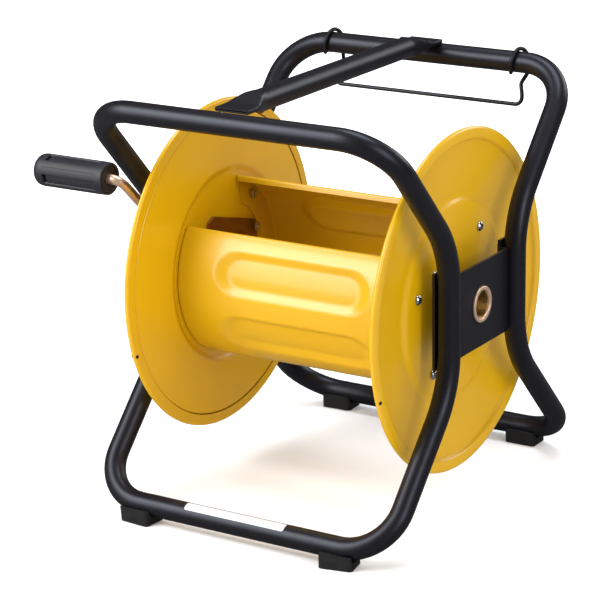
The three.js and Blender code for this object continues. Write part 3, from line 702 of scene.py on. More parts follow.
def pressed_ring(bm, edges, y, amount):
    """Moves a ring to y and gives it the section that is pressed by an amount from 0 to 1."""
    width = TUBE_R + (FLAT_HALF_WIDTH - TUBE_R) * amount
    height = TUBE_R + (FLAT_HALF_HEIGHT - TUBE_R) * amount
    for vert in verts_of(edges):
        angle = math.atan2(vert[ring_sine], vert[ring_cosine])
        tall = height * (1 + OVERFILL * amount) * math.sin(angle)
        vert.co = (width * math.cos(angle), y, HANDLE_Z + max(-height, min(height, tall)))


bm = bmesh.new()
ring_sine = bm.verts.layers.float.new("ring_sine")
ring_cosine = bm.verts.layers.float.new("ring_cosine")
edges = ring(bm, Vector((0, -HANDLE_TIP, HANDLE_Z)), (0, 1, 0), TUBE_R, 48)
for vert in bm.verts:
    vert[ring_sine], vert[ring_cosine] = (vert.co.z - HANDLE_Z) / TUBE_R, vert.co.x / TUBE_R
stations = [(-HANDLE_TIP, 1.0), (-HANDLE_FLAT, 1.0)]
for share in (i / PRESS_STEPS for i in range(1, PRESS_STEPS + 1)):
    stations.append((-HANDLE_FLAT + (HANDLE_FLAT - HANDLE_ROUND) * share, 1 - ease(share)))
stations += [(-y, amount) for y, amount in reversed(stations)]
for y, amount in stations:
    if y > -HANDLE_TIP:
        edges = push(bm, edges, (0, 1, 0))
    pressed_ring(bm, edges, y, amount)
face_outwards(bm, (0, 0, HANDLE_Z))
thicken(bm, HANDLE_WALL)
finish_piece(bm, "flattened_carry_handle", "frame", "black_coat", ["carry_handle"])

# %% [markdown]
# ## Side plates
#
# A side plate is a strip of 3 mm steel with two folds at each end. The middle, with the hole
# for the axle, stands level with the outside of the tubes, and the ends step inwards and are
# welded behind the tubes. A grid is the flat sheet, a drilled hole takes the bush, and the
# end edges are spun round small radii for the folds before the sheet gets its thickness.

# %% Fold the side plates
PLATE_WALL, FOLD, PLATE_GAP = 3, 2, 0.3
PLATE_HALF_HEIGHT, PLATE_END_HALF_HEIGHT, PLATE_END_REACH = 43, 49, 8
HOLE_CLEARANCE = 6
PIPE_R, AXLE_R = 18.3, 10.0
RUNNING, BUSH_WALL, FIT = 0.5, 1.7, 0.3
SHAFT_R = {"left": AXLE_R, "right": PIPE_R}


def side_plate(side):
    low, high = span(f"side_plate_{side}")
    face_x = high.x if side == "right" else -low.x
    strip_x = LOOP_X - TUBE_R - PLATE_GAP
    web_y = WAIST_Y - TUBE_R - PLATE_GAP
    hole_radius = SHAFT_R[side] + RUNNING + BUSH_WALL + FIT
    bm = bmesh.new()
    bmesh.ops.create_grid(bm, x_segments=14, y_segments=10, size=1, matrix=SIDEWAYS)
    resize(bm, (1, web_y - FOLD, PLATE_HALF_HEIGHT))
    move(bm, (face_x, 0, 0))
    drill(bm, (face_x, 0, 0), hole_radius, hole_radius + HOLE_CLEARANCE, 48)
    for end in (-1, 1):
        y = end * (web_y - FOLD)
        edges = open_edges(bm, 1, y)
        edges = bend(bm, edges, (face_x - FOLD, y, 0), (0, 0, end), math.pi / 2, 4)
        edges = push(bm, edges, (strip_x + 2 * FOLD - face_x, 0, 0))
        back = (strip_x + FOLD, end * (web_y + FOLD), 0)
        edges = bend(bm, edges, back, (0, 0, -end), math.pi / 2, 4)
        resize(bm, (1, 1, PLATE_END_HALF_HEIGHT / PLATE_HALF_HEIGHT), verts_of(edges))
        push(bm, edges, (0, end * (WAIST_Y + PLATE_END_REACH - web_y - FOLD), 0))
    face_outwards(bm)
    thicken(bm, PLATE_WALL)
    if side == "left":
        mirror_left(bm)
    soften(bm, 0.5, above=60)
    finish_piece(bm, f"folded_side_plate_{side}", "frame", "black_coat", [f"side_plate_{side}"],
                 level_shading=True)


for side in ("left", "right"):
    side_plate(side)

# %% [markdown]
# ## Turned pieces: bushes, pipe, axle, collar
#
# These are lathe work, so each is an outline of radius and distance along the axle, with its
# corners rounded, spun once round the axle. The left side is the same outline mirrored in X.
# The inlet pipe carries the finish that shows most: a pale ring with a dark threaded bore,
# so the thread is cut as a real helix inside the pipe.


# %% A turned piece
def turned_piece(name, side, points, body, slot, nodes, steps=64, at=(0, 0), finish=None):
    """Turns [radius, x, rounding] points; the left side is the right one mirrored."""
    bm = bmesh.new()
    sign = 1 if side == "right" else -1
    outline(bm, [(r, sign * x, rounding) for r, x, rounding in points])
    turn_round(bm, steps)
    move(bm, (0, *at))
    merge(bm)
    finish_piece(bm, name, body, slot, nodes, finish)


# %% Turn the bushes, pipe, axle and collar
PLATE_FACE = span("side_plate_right")[1].x
HUB_FACE = PLATE_FACE - 29
SHOULDER_END = PLATE_FACE - 7.5
BUSH_RIM, BUSH_PROUD = 5.5, 0.4
bush_in, bush_out = SHOULDER_END + 0.8, PLATE_FACE + BUSH_PROUD
bush_seat = PLATE_FACE - PLATE_WALL - FIT
for side in ("left", "right"):
    bore = SHAFT_R[side] + RUNNING
    sleeve = bore + BUSH_WALL
    turned_piece(f"axle_bush_{side}", side, [
        (bore, bush_in, 0.3), (sleeve + BUSH_RIM, bush_in, 0.5),
        (sleeve + BUSH_RIM, bush_seat, 0.4), (sleeve, bush_seat, 0), (sleeve, bush_out, 0.3),
        (bore, bush_out, 0.3),
    ], "frame", "plastic", [f"bush_{side}"], finish=BUSH_PLASTIC)

pipe_low, pipe_high = span("inlet_pipe")
BORE_R = PIPE_R - 4.3
SHOULDER_R = {"left": AXLE_R + 6, "right": PIPE_R + 4.7}
SHOULDER_START = HUB_FACE + FIT


def shouldered(side, foot):
    """The outside that both shafts share: the foot, then the shoulder between its two faces."""
    shaft, wide = SHAFT_R[side], SHOULDER_R[side]
    return [foot, (shaft, SHOULDER_START, 0), (wide, SHOULDER_START, 0.5),
            (wide, SHOULDER_END, 0.8), (shaft, SHOULDER_END, 0.3)]


turned_piece("inlet_pipe_turned", "right", [
    (BORE_R, pipe_low.x, 0.4), *shouldered("right", (PIPE_R, pipe_low.x, 0.8)),
    (PIPE_R, pipe_high.x, 1.1), (BORE_R + 0.9, pipe_high.x, 0.7),
    (BORE_R, pipe_high.x - 1.6, 0.4),
], "drum", "yellow_zinc", ["inlet_pipe"], steps=96)

axle_low, axle_high = span("crank_axle")
turned_piece("crank_axle_turned", "left", [
    (0, -axle_high.x, 0), *shouldered("left", (AXLE_R, -axle_high.x, 1.0)),
    (AXLE_R, -axle_low.x, 1.6), (0, -axle_low.x, 0),
], "drum", "yellow_zinc", ["crank_axle"])

collar_low, collar_high = span("crank_collar")
COLLAR_R, COLLAR_BORE = AXLE_R + 6, AXLE_R + 0.4
turned_piece("crank_collar_turned", "left", [
    (COLLAR_BORE, -collar_high.x, 0.5), (COLLAR_R, -collar_high.x, 0.9),
    (COLLAR_R, -collar_low.x, 0.9), (COLLAR_BORE, -collar_low.x, 0.5),
], "drum", "zinc", ["crank_collar"])

# %% [markdown]
# ## The inlet thread
#
# A hose fitting screws into the pipe, so the bore has a pipe thread. A short profile spun
# with a small step along the axle makes a true helix. It is its own piece, a coil just
# inside the mouth, in the darker olive chromate, so the bore reads darker than the ring.

# %% Cut the thread
THREAD_PITCH, THREAD_TURNS, THREAD_STEPS = 1.8, 9, 48
ROOT_HALF, CREST_HALF = 0.85, 0.18
root_r, crest_r = BORE_R - 0.02, BORE_R - 0.85
start_x = pipe_high.x - 2.2
bm = bmesh.new()
tooth = [bm.verts.new((start_x + dx, 0, r)) for dx, r in (
    (ROOT_HALF, root_r), (CREST_HALF, crest_r), (-CREST_HALF, crest_r), (-ROOT_HALF, root_r))]
first = [bm.edges.new(pair) for pair in zip(tooth, tooth[1:] + tooth[:1])]
last = bend(bm, first[:], (0, 0, 0), (1, 0, 0), math.tau * THREAD_TURNS,
            THREAD_STEPS * THREAD_TURNS, (-THREAD_PITCH / THREAD_STEPS, 0, 0))
for loop in (first, last):
    bmesh.ops.contextual_create(bm, geom=loop)
bmesh.ops.recalc_face_normals(bm, faces=bm.faces)
# The thread takes the darker olive chromate, so the bore reads darker than the pale ring.
finish_piece(bm, "inlet_thread", "drum", "dark_zinc", [], sharp=30)

# %% [markdown]
# ## Flanges
#
# Each flange is one disc of 1.2 mm sheet. A shallow plateau stiffens the middle and the disc
# leans outwards a little, like a plate. Its edge is rolled into a wide flat bead, so that a
# hose slides over it and no hand meets a raw edge. The whole section is one chain with
# rounded corners. Turning it once gives the sheet, and the wall is added on the hidden side
# of the bead. A small black rubber plug near the bead makes a dark dot on each flange.

# %% Turn and roll the flanges
FLANGE_FACE = HUB_FACE - 3.5
FLANGE_R = span("flange_right")[1].z
CORE_R = 92
FLANGE_STEPS = 144
RIM_PLUG_R, RIM_PLUG_AT, RIM_PLUG_DEGREES = 1.9, FLANGE_R - 3.8, -160.5


def flange(side):
    sign = 1 if side == "right" else -1
    rim = FLANGE_R - 0.5
    bm = bmesh.new()
    # The hub hole and the plateau, its step down to the disc, the dish, and then the bead.
    outline(bm, [(r, sign * x, rounding) for r, x, rounding in [
        (SHAFT_R[side] + 0.4, HUB_FACE, 0), (CORE_R - 12, HUB_FACE, 0),
        (CORE_R + 6, HUB_FACE, 2.2), (CORE_R + 12, FLANGE_FACE, 2.4),
        (rim - 40, FLANGE_FACE + 3.3, 0), (rim - 14.4, FLANGE_FACE + 6.0, 0.8),
        (rim - 12.6, FLANGE_FACE + 10.4, 1.9), (rim - 2.4, FLANGE_FACE + 10.8, 2.2),
        (rim, FLANGE_FACE + 8.2, 1.6), (rim - 1.8, FLANGE_FACE + 4.9, 1.6),
        (rim - 12.2, FLANGE_FACE + 4.7, 0),
    ]], closed=False)
    turn_round(bm, FLANGE_STEPS)
    merge(bm)
    hub = [f for f in bm.faces if f.calc_center_median().yz.length < CORE_R]
    if sum(f.normal.x for f in hub) * sign < 0:
        bmesh.ops.reverse_faces(bm, faces=bm.faces)
    thicken(bm, SHEET)
    finish_piece(bm, f"rolled_flange_{side}", "drum", "yellow_paint", [f"flange_{side}"])


# A small black rubber plug near each bead gives the dark dot on the flange.
plug_at = at_angle(RIM_PLUG_AT, RIM_PLUG_DEGREES)
for side in ("left", "right"):
    flange(side)
    turned_piece(f"rim_plug_{side}", side, [
        (0, FLANGE_FACE + 4.0, 0), (RIM_PLUG_R, FLANGE_FACE + 4.3, 0.5),
        (RIM_PLUG_R, FLANGE_FACE + 11.1, 0.5), (0, FLANGE_FACE + 11.4, 0),
    ], "drum", "rubber", [], steps=20, at=(plug_at.y, plug_at.z))

# %% [markdown]
# ## Core shells with pressed panels
#
# The hose is wound on two half shells. Long panels with round ends are pressed into them,
# which stops thin sheet from drumming. It is easiest to press a sheet while it is flat: a
# grid is the blank, its long edges are folded for the hems and its ends for the tabs that
# are screwed to the flanges, and the panels are sunk by how far a point lies between an
# inner and an outer outline. Only then is the blank rolled to its radius.

# %% Press and roll the shells
CORE_HALF = math.radians(58)
FRONT_CENTRE, REAR_CENTRE = 199, 19
PANEL_DEGREES, PANEL_DEPTH = (-31.4, 10.6), 4.6
PANEL_OUTER, PANEL_INNER, PANEL_SHIFT = (93, 24.5), (74.5, 14.4), 2
TAB_X = HUB_FACE - SHEET - FIT
CORNER, HEM_DEPTH = 2.0, 6
TAB_ROOT, TAB_DEPTH, TAB_NARROWING, TAB_STEPS = CORNER + 3, 27.5, 0.225, 6


def capsule(x, y, half_length, half_height):
    """Distance outside a long shape with round ends."""
    return math.hypot(max(abs(x) - (half_length - half_height), 0), y) - half_height


def panel_depth(x, along):
    """How deep the sheet is pressed at a place on the flat blank."""
    deepest = 0
    for degrees in PANEL_DEGREES:
        y = along - math.radians(degrees) * CORE_R
        outside = capsule(x, y, *PANEL_OUTER)
        inside = max(capsule(x, y + PANEL_SHIFT, *PANEL_INNER), 0)
        if outside < 0:
            deepest = max(deepest, PANEL_DEPTH * (1 - ease(inside / (inside - outside))))
    return deepest


def fold(bm, edges, outward, depth, steps=4):
    """Folds edges of the blank down through a rounded corner to a depth."""
    for i in range(steps):
        a, b = (math.pi / 2 * k / steps for k in (i, i + 1))
        across = CORNER * (math.sin(b) - math.sin(a))
        down = CORNER * (math.cos(a) - math.cos(b))
        edges = push(bm, edges, Vector(outward) * across + Vector((0, 0, -down)))
    return push(bm, edges, (0, 0, CORNER - depth))


def core_shell(which, centre):
    half_x, half_y = TAB_X - CORNER, CORE_HALF * CORE_R - CORNER
    bm = bmesh.new()
    bmesh.ops.create_grid(bm, x_segments=132, y_segments=118, size=1)
    resize(bm, (half_x, half_y, 1))
    for vert in bm.verts:
        vert.co.z = -panel_depth(vert.co.x, vert.co.y)
    ends = {s: open_edges(bm, 0, s * half_x) for s in (-1, 1)}
    hems = {s: open_edges(bm, 1, s * half_y) for s in (-1, 1)}
    for s in (-1, 1):
        fold(bm, hems[s], (0, s, 0), HEM_DEPTH)
        edges = fold(bm, ends[s], (s, 0, 0), TAB_ROOT)
        for i in range(1, TAB_STEPS + 1):
            before, now = (1 - TAB_NARROWING * k / TAB_STEPS for k in (i - 1, i))
            edges = push(bm, edges, (0, 0, 0))
            for vert in verts_of(edges):
                vert.co.z = -TAB_ROOT - (TAB_DEPTH - TAB_ROOT) * i / TAB_STEPS
                vert.co.y *= now / before
    for vert in bm.verts:
        degrees = centre + math.degrees(vert.co.y / CORE_R)
        vert.co = at_angle(CORE_R + vert.co.z, degrees, vert.co.x)
    face_outwards(bm)
    thicken(bm, SHEET)
    finish_piece(bm, f"pressed_core_shell_{which}", "drum", "yellow_paint",
                 [f"core_shell_{which}"])


core_shell("front", FRONT_CENTRE)
core_shell("rear", REAR_CENTRE)

# %% [markdown]
# ## Hub plates and axle nuts
#
# Inside the drum a thick square plate with clipped corners backs each flange, and a big nut
# holds the axle to it. A square with its corners bevelled, a drilled middle and a thickness
# is the plate. The nut is the drilled hexagon treated the same way.


# %% Plates and nuts from outlines
def drilled_blank(corners, radius, hole_radius, thickness, face_x, sides=48, clip=0):
    """A flat shape across the axle with a hole, a thickness and maybe clipped corners, at +X."""
    bm = bmesh.new()
    bmesh.ops.create_circle(bm, segments=corners, radius=radius, cap_ends=True, matrix=SIDEWAYS)
    if clip:
        round_off(bm, bm.verts[:], clip, 1, "VERTICES")
    drill(bm, (0, 0, 0), hole_radius, radius, sides)
    move(bm, (face_x, 0, 0))
    face_outwards(bm)
    thicken(bm, thickness)
    return bm


def place_blank(bm, side, degrees, at=(0, 0, 0)):
    """Turns the work about the axle, mirrors it for the left side and moves it into place."""
    turn = Matrix.Rotation(math.radians(degrees), 3, "X")
    bmesh.ops.rotate(bm, cent=(0, 0, 0), matrix=turn, verts=bm.verts)
    if side == "left":
        mirror_left(bm)
    move(bm, at)


HUB_SCREW_DEGREES = {"left": 30, "right": 140}
HUB_PLATE_R, HUB_PLATE_CLIP, HUB_PLATE_WALL = 67.16, 7.3, 3
AXLE_NUTS = {"left": ("crank_axle_nut", 7), "right": ("inlet_nut", 8.7)}
AXLE_NUT_H, BORE_GAP = 7, 0.4
NUT_FACE = TAB_X - HUB_PLATE_WALL - FIT
for side in ("left", "right"):
    bore = SHAFT_R[side] + BORE_GAP
    bm = drilled_blank(4, HUB_PLATE_R, bore, HUB_PLATE_WALL, TAB_X, clip=HUB_PLATE_CLIP)
    soften(bm, 0.4, above=60)
    place_blank(bm, side, HUB_SCREW_DEGREES[side])
    finish_piece(bm, f"square_hub_plate_{side}", "drum", "dark_zinc", [f"hub_plate_{side}"],
                 level_shading=True)
    node, wall = AXLE_NUTS[side]
    bm = drilled_blank(6, SHAFT_R[side] + wall, bore, AXLE_NUT_H, NUT_FACE)
    soften(bm, 0.8, 3)
    place_blank(bm, side, 30)
    finish_piece(bm, f"axle_hex_nut_{side}", "drum", "yellow_zinc", [node], level_shading=True)

# %% [markdown]
# ## Screws and nuts of the drum
#
# Twelve screws with low domed heads hold the shells and the hub plates, each with a nut
# inside the drum. One outline is the whole screw: shank, the flat under the head, a short
# straight skirt and the dome. The cross for the screwdriver is cut into the crown with four
# planes and pushed in. The nuts are small hexagons whose corners are softened.

# %% Fit the screws and nuts
SCREW_R, HEAD_R, HEAD_H = 2.5, 5.2, 3.6
CROSS_R, CROSS_HALF, CROSS_DEPTH = 2.5, 0.55, 1.5
NUT_R, NUT_H, THREAD_GAP = 5.6, 4.5, 0.35
TAB_SCREW_R, TAB_SCREW_DEGREES, HUB_SCREW_R = CORE_R - 12, 34, 56


def screw_and_nut(name, side, radius, degrees, seat):
    at = at_angle(radius, degrees)
    top = HUB_FACE + FIT
    tip = seat - FIT - NUT_H - 1
    bm = bmesh.new()
    outline(bm, [
        (0, tip, 0), (SCREW_R, tip, 0.6), (SCREW_R, top, 0), (HEAD_R, top, 0.25),
        (HEAD_R, top + 0.35 * HEAD_H, 0.7), (0.62 * HEAD_R, top + 0.88 * HEAD_H, 1.0),
        (CROSS_R, top + 0.95 * HEAD_H, 0), (0, top + HEAD_H, 0),
    ])
    turn_round(bm, 32)
    face_outwards(bm, (top, 0, 0))
    crown_x = top + 0.9 * HEAD_H
    for line in ((0, 1, 0), (0, 0, 1)):
        for shift in (-CROSS_HALF, CROSS_HALF):
            crown = [f for f in bm.faces if f.calc_center_median().x > crown_x]
            around_crown = list({g for f in crown for g in (*f.verts, *f.edges)})
            bmesh.ops.bisect_plane(bm, geom=crown + around_crown, dist=0.001,
                                   plane_co=Vector(line) * shift, plane_no=line)
    middles = ((f, f.calc_center_median()) for f in bm.faces)
    cross = [f for f, middle in middles if middle.x > crown_x and middle.yz.length < CROSS_R
             and min(abs(c) for c in middle.yz) < CROSS_HALF]
    sunk = bmesh.ops.extrude_face_region(bm, geom=cross)["geom"]
    bmesh.ops.delete(bm, geom=cross, context="FACES")
    move(bm, (-CROSS_DEPTH, 0, 0), only("BMVert", sunk))
    place_blank(bm, side, degrees + 20, at)
    finish_piece(bm, f"domed_screw_{name}_{side}", "drum", "zinc", [f"{name}_screw_{side}"])
    bm = drilled_blank(6, NUT_R, SCREW_R + THREAD_GAP, NUT_H, seat - FIT, 24)
    soften(bm, 0.55)
    place_blank(bm, side, degrees + 30, at)
    finish_piece(bm, f"hex_nut_{name}_{side}", "drum", "zinc", [f"{name}_nut_{side}"],
                 level_shading=True)


for side in ("left", "right"):
    for name, centre, turn in (("front_upper", FRONT_CENTRE, -1), ("front_lower", FRONT_CENTRE, 1),
                               ("rear_upper", REAR_CENTRE, 1), ("rear_lower", REAR_CENTRE, -1)):
        screw_and_nut(f"core_{name}", side, TAB_SCREW_R, centre + turn * TAB_SCREW_DEGREES,
                      TAB_X - SHEET)
    for name, turn in (("hub_a", 0), ("hub_b", 180)):
        screw_and_nut(name, side, HUB_SCREW_R, HUB_SCREW_DEGREES[side] + turn,
                      TAB_X - HUB_PLATE_WALL)

# %% [markdown]
# ## Crank arm and grip
#
# The crank is a 10 mm rod that passes through the end of the axle, runs out along the arm and
# turns to carry the grip. It is bent the same way as the loops. The grip is moulded: a turned
# body with a rounded outer end, four wide channels along it that end in a deep pocket, and a
# fine parting line down the middle of each land. The channels are inset regions of the
# turned body, which is how a moulder would think of them: places where the tool stands in.

# %% Bend the crank arm
ROD_R, ROD_TAIL, ROD_BEND = 5.0, 14, 12
CRANK_DEGREES, CRANK_RADIUS = 136.5, 158
grip_low, grip_high = span("crank_grip")
CRANK_X = -(axle_low.x + 9.5)
ROD_END = -grip_low.x - 5.5
arm_tail = at_angle(-ROD_TAIL, CRANK_DEGREES, -CRANK_X)
arm_corner = at_angle(CRANK_RADIUS, CRANK_DEGREES, -CRANK_X)
arm_end = at_angle(CRANK_RADIUS, CRANK_DEGREES, -ROD_END)
bm = bmesh.new()
first = ring(bm, arm_tail, arm_corner - arm_tail, ROD_R, 32)
last, _ = follow(bm, first, arm_tail, [[arm_corner, ROD_BEND, 10], [arm_end, 0, 0]])
for edges in (first, last):
    cap(bm, edges, 1.0)
face_outwards(bm, arm_tail)
finish_piece(bm, "bent_crank_rod", "drum", "yellow_zinc", ["crank_arm"])

# %% Mould the grip
GRIP_R, GRIP_BORE, RECESS_R, RECESS = 17, ROD_R + 0.6, 10, 9
GRIP_IN, GRIP_OUT = -grip_high.x, -grip_low.x
CHANNEL_HALF, CHANNEL_PITCH, FIRST_CHANNEL, PARTING_HALF = 20, 90, 109, 1.6
grip_at = at_angle(CRANK_RADIUS, CRANK_DEGREES)


def around(face):
    """The angle of a face about the grip, 0 to 360 degrees, and its distance along it."""
    middle = face.calc_center_median()
    return math.degrees(math.atan2(middle.z, middle.y)) % 360, -middle.x


def side_faces(bm, depth, wanted):
    """Faces of the channel length, by depth and by degrees from the nearest channel."""
    half = CHANNEL_PITCH / 2
    found = []
    for face in bm.faces:
        angle, along = around(face)
        off = abs((angle - FIRST_CHANNEL + half) % CHANNEL_PITCH - half)
        if (lengths[0] < along < lengths[3] and wanted(off) and face.normal.yz.length > 0.9
                and face.calc_center_median().yz.length > GRIP_R - depth):
            found.append(face)
    return found


def sink(bm, faces, border, depth):
    bmesh.ops.inset_region(bm, faces=faces, thickness=border, depth=-depth, use_boundary=True,
                           use_even_offset=True)


bm = bmesh.new()
lengths = [GRIP_IN + 9, GRIP_IN + 14, GRIP_OUT - 18, GRIP_OUT - 13.5]
# The bore and the inner collar, the side, the round outer end, and the recess for the cap.
outline(bm, [
    (GRIP_BORE, GRIP_IN + 1.2, 0.4), (GRIP_R - 4.5, GRIP_IN + 1.2, 0.5),
    (GRIP_R - 3.6, GRIP_IN, 0.4), (GRIP_R - 0.3, GRIP_IN, 1.4), *[(GRIP_R, x, 0) for x in lengths],
    (GRIP_R, GRIP_OUT - 6.5, 2.0), (GRIP_R - 1.6, GRIP_OUT - 2.2, 1.8),
    (GRIP_R - 5, GRIP_OUT, 1.4), (RECESS_R, GRIP_OUT, 0.8), (RECESS_R, GRIP_OUT - RECESS, 0.6),
    (GRIP_BORE, GRIP_OUT - RECESS, 0.3),
])
resize(bm, (-1, 1, 1))
turn_round(bm, 120)
face_outwards(bm, ((GRIP_IN + GRIP_OUT) / -2, 0, 0))
channel = side_faces(bm, 1, lambda off: off < CHANNEL_HALF)
sink(bm, channel, 0.5, 1.1)
sink(bm, [f for f in channel if f.is_valid and around(f)[1] > lengths[2]], 0.4, 4.0)
sink(bm, side_faces(bm, 0.6, lambda off: off > CHANNEL_PITCH / 2 - PARTING_HALF), 0.15, 0.35)
soften(bm, 0.25, above=48)
move(bm, grip_at)
finish_piece(bm, "moulded_grip", "grip", "plastic", ["crank_grip"])

# %% Turn the grip's end cap
cap_low, cap_high = span("grip_end_cap")
CAP_R, CAP_TOP_R = 8, 5
turned_piece("grip_retainer", "left", [
    (0, ROD_END + FIT, 0), (ROD_R + FIT, ROD_END + FIT, 0), (ROD_R + FIT, -cap_high.x, 0),
    (CAP_R, -cap_high.x, 0.4), (CAP_R, ROD_END + 1.2, 0.6), (CAP_TOP_R, -cap_low.x, 0.8),
    (0, -cap_low.x, 0),
], "drum", "zinc", ["grip_end_cap"], steps=36, at=(grip_at.y, grip_at.z))

# %% [markdown]
# ## The wire bail
#
# The bail hangs from the rear top bar by two open hooks and guides the hose. It is one length
# of spring wire. A ring of edges starts at the tip of one hook, is spun round the bar with a
# small slide along it, and then follows the legs and the lower wire to the other hook.

# %% Bend the bail
WIRE_R = 2.15
HOOK_R = TUBE_R + WIRE_R + 0.7
HOOK_WRAP, HOOK_SLIDE, HOOK_STEPS = math.radians(228), 8, 30
KINK = [6, 4]
BAIL_X = span("hose_guide_bail")[1].x - WIRE_R
LOW_WIRE = Vector((0, TOP_BAR.y - 2, TOP_BAR.z - 44.5))
behind = TOP_BAR.y + HOOK_R


def bail_leg(x, inward):
    """The three kinks of a leg; the middle one leans inwards by 5 mm."""
    under = TOP_BAR.z - TUBE_R
    return [
        [(x, behind - 0.4, under - 1.9), *KINK],
        [(x + inward * 5, behind - 7, under - 12.9), *KINK],
        [(x, LOW_WIRE.y + 2, LOW_WIRE.z + 9.5), *KINK],
    ]


bm = bmesh.new()
tip = Vector((BAIL_X - HOOK_SLIDE, TOP_BAR.y + HOOK_R * math.cos(HOOK_WRAP),
              TOP_BAR.z + HOOK_R * math.sin(HOOK_WRAP)))
facing = Vector((0, math.sin(HOOK_WRAP), -math.cos(HOOK_WRAP)))
first = ring(bm, tip, facing, WIRE_R, 20)
slide = HOOK_SLIDE / HOOK_STEPS
edges = bend(bm, first, TOP_BAR, (-1, 0, 0), HOOK_WRAP, HOOK_STEPS, (slide, 0, 0))
edges, _ = follow(bm, edges, Vector((BAIL_X, behind, TOP_BAR.z)), [
    *bail_leg(BAIL_X, -1),
    [(BAIL_X, LOW_WIRE.y, LOW_WIRE.z), 7, 8],
    [(-BAIL_X, LOW_WIRE.y, LOW_WIRE.z), 7, 8],
    *reversed(bail_leg(-BAIL_X, 1)),
    [(-BAIL_X, behind, TOP_BAR.z), 0, 0],
])
last = bend(bm, edges, TOP_BAR, (1, 0, 0), HOOK_WRAP, HOOK_STEPS, (-slide, 0, 0))
for edges in (first, last):
    cap(bm, edges, 0.6)
face_outwards(bm, tip)
finish_piece(bm, "bent_wire_bail", "bail", "black_coat", ["hose_guide_bail"])

# %% [markdown]
# ## Rubber feet
#
# Four rubber blocks are screwed under the bottom bars. Each has a saddle that takes the lower
# half of the tube. The section is an arc for the saddle and four corners, filled and then
# extruded along the tube. The blocks sit a little crooked, each by its own angle, so the
# outside is turned while the saddle stays on the tube.

# %% Mould the feet
FOOT_HALF_LENGTH, FOOT_HALF_DEPTH, FOOT_CORNER, FOOT_EDGE = 17.5, 13.5, 3.8, 0.9
FOOT_DROP = BOTTOM_BAR.z - (FLOOR_Z - AXLE.z) / MM
SADDLE_R, SADDLE_TOP = TUBE_R + FIT, 2.5
FOOT_TURN = {"front_left": -5, "front_right": 11, "rear_left": 3, "rear_right": 0}
FOOT_X = LOOP_X - CORNER_BEND - 0.7


def outside_saddle(vert):
    return vert.co.yz.length > SADDLE_R + 0.5


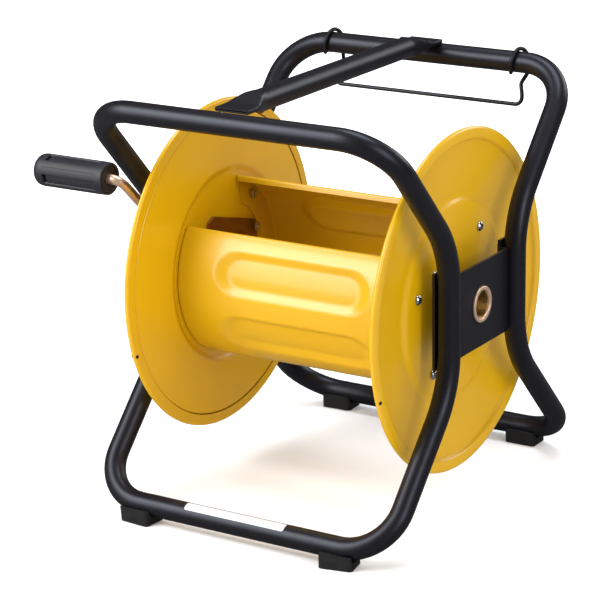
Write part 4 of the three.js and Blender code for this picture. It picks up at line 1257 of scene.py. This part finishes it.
def rubber_foot(name):
    x = FOOT_X if name.endswith("right") else -FOOT_X
    y = BOTTOM_BAR.y if name.startswith("rear") else -BOTTOM_BAR.y
    turn = math.radians(FOOT_TURN[name])
    dip = math.asin(SADDLE_TOP / SADDLE_R)
    bm = bmesh.new()
    begin = bm.verts.new((-FOOT_HALF_LENGTH, -SADDLE_R * math.cos(dip), -SADDLE_TOP))
    bmesh.ops.spin(bm, geom=[begin], cent=(-FOOT_HALF_LENGTH, 0, 0), axis=(1, 0, 0), dvec=(0, 0, 0),
                   angle=math.pi - 2 * dip, steps=20)
    bmesh.ops.remove_doubles(bm, verts=bm.verts, dist=MEETING)
    ends = sorted((v for v in bm.verts if len(v.link_edges) == 1), key=lambda v: v.co.y)
    chain = [ends[0]]
    for across, up in ((-1, -SADDLE_TOP), (-1, -FOOT_DROP), (1, -FOOT_DROP), (1, -SADDLE_TOP)):
        chain.append(bm.verts.new((-FOOT_HALF_LENGTH, across * FOOT_HALF_DEPTH, up)))
    for pair in zip(chain, chain[1:] + [ends[1]]):
        bm.edges.new(pair)
    bmesh.ops.contextual_create(bm, geom=bm.edges[:])
    made = bmesh.ops.extrude_face_region(bm, geom=bm.faces[:], use_keep_orig=True)["geom"]
    move(bm, (2 * FOOT_HALF_LENGTH, 0, 0), only("BMVert", made))
    bmesh.ops.recalc_face_normals(bm, faces=bm.faces)
    for vert in bm.verts:
        if outside_saddle(vert):
            vert.co.rotate(Matrix.Rotation(turn, 3, "Z"))
        else:
            vert.co.x = (vert.co.x - vert.co.y * math.sin(turn)) / math.cos(turn)
    upright = [e for e in bm.edges if abs(e.verts[0].co.z - e.verts[1].co.z) > FOOT_DROP / 2]
    round_off(bm, upright, FOOT_CORNER, 5)
    soften(bm, FOOT_EDGE, 3, above=55, where=lambda e: all(outside_saddle(v) for v in e.verts))
    move(bm, (x, y, BOTTOM_BAR.z))
    finish_piece(bm, f"rubber_{name}_foot", "frame", "rubber", [f"foot_{name}"],
                 level_shading=True)


for name in FOOT_TURN:
    rubber_foot(name)

# %% [markdown]
# ## The label
#
# A plain white film label is stuck along the upper front of the lower front bar. It starts as
# one flat face with rounded corners, is cut into narrow strips, and is then laid round the
# tube a tenth of a millimetre above the paint.

# %% Lay the label
LABEL_LEFT, LABEL_RIGHT, LABEL_LOW, LABEL_HIGH = -58.5, 57, 42, 97
LABEL_LIFT, LABEL_WALL, LABEL_CORNER, LABEL_STRIPS = 0.12, 0.08, 2.2, 10
label_radius = TUBE_R + LABEL_LIFT
half_width = label_radius * math.radians(LABEL_HIGH - LABEL_LOW) / 2
bm = bmesh.new()
bmesh.ops.create_grid(bm, x_segments=1, y_segments=1, size=1)
resize(bm, ((LABEL_RIGHT - LABEL_LEFT) / 2, half_width, 1))
round_off(bm, bm.verts[:], LABEL_CORNER, 5, "VERTICES")
for i in range(1, LABEL_STRIPS):
    cut = -half_width + 2 * half_width * i / LABEL_STRIPS
    bmesh.ops.bisect_plane(bm, geom=bm.verts[:] + bm.edges[:] + bm.faces[:], dist=0.001,
                           plane_co=(0, cut, 0), plane_no=(0, 1, 0))
for vert in bm.verts:
    angle = math.radians((LABEL_LOW + LABEL_HIGH) / 2) + vert.co.y / label_radius
    vert.co = (vert.co.x + (LABEL_LEFT + LABEL_RIGHT) / 2,
               -BOTTOM_BAR.y - label_radius * math.cos(angle),
               BOTTOM_BAR.z + label_radius * math.sin(angle))
face_outwards(bm, (0, -BOTTOM_BAR.y, BOTTOM_BAR.z))
thicken(bm, LABEL_WALL)
finish_piece(bm, "plain_bar_label", "frame", None, [], finish=LABEL_FILM)

# %% [markdown]
# ## The CAD nodes that stay
#
# The foot screws are small and sit inside the feet, so the CAD shape is enough. They only
# need their plated finish.

# %% Paint what stays
for node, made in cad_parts.items():
    if not made.hide_render:
        made.data.materials.clear()
        made.data.materials.append(ZINC)
        print("kept:", node)
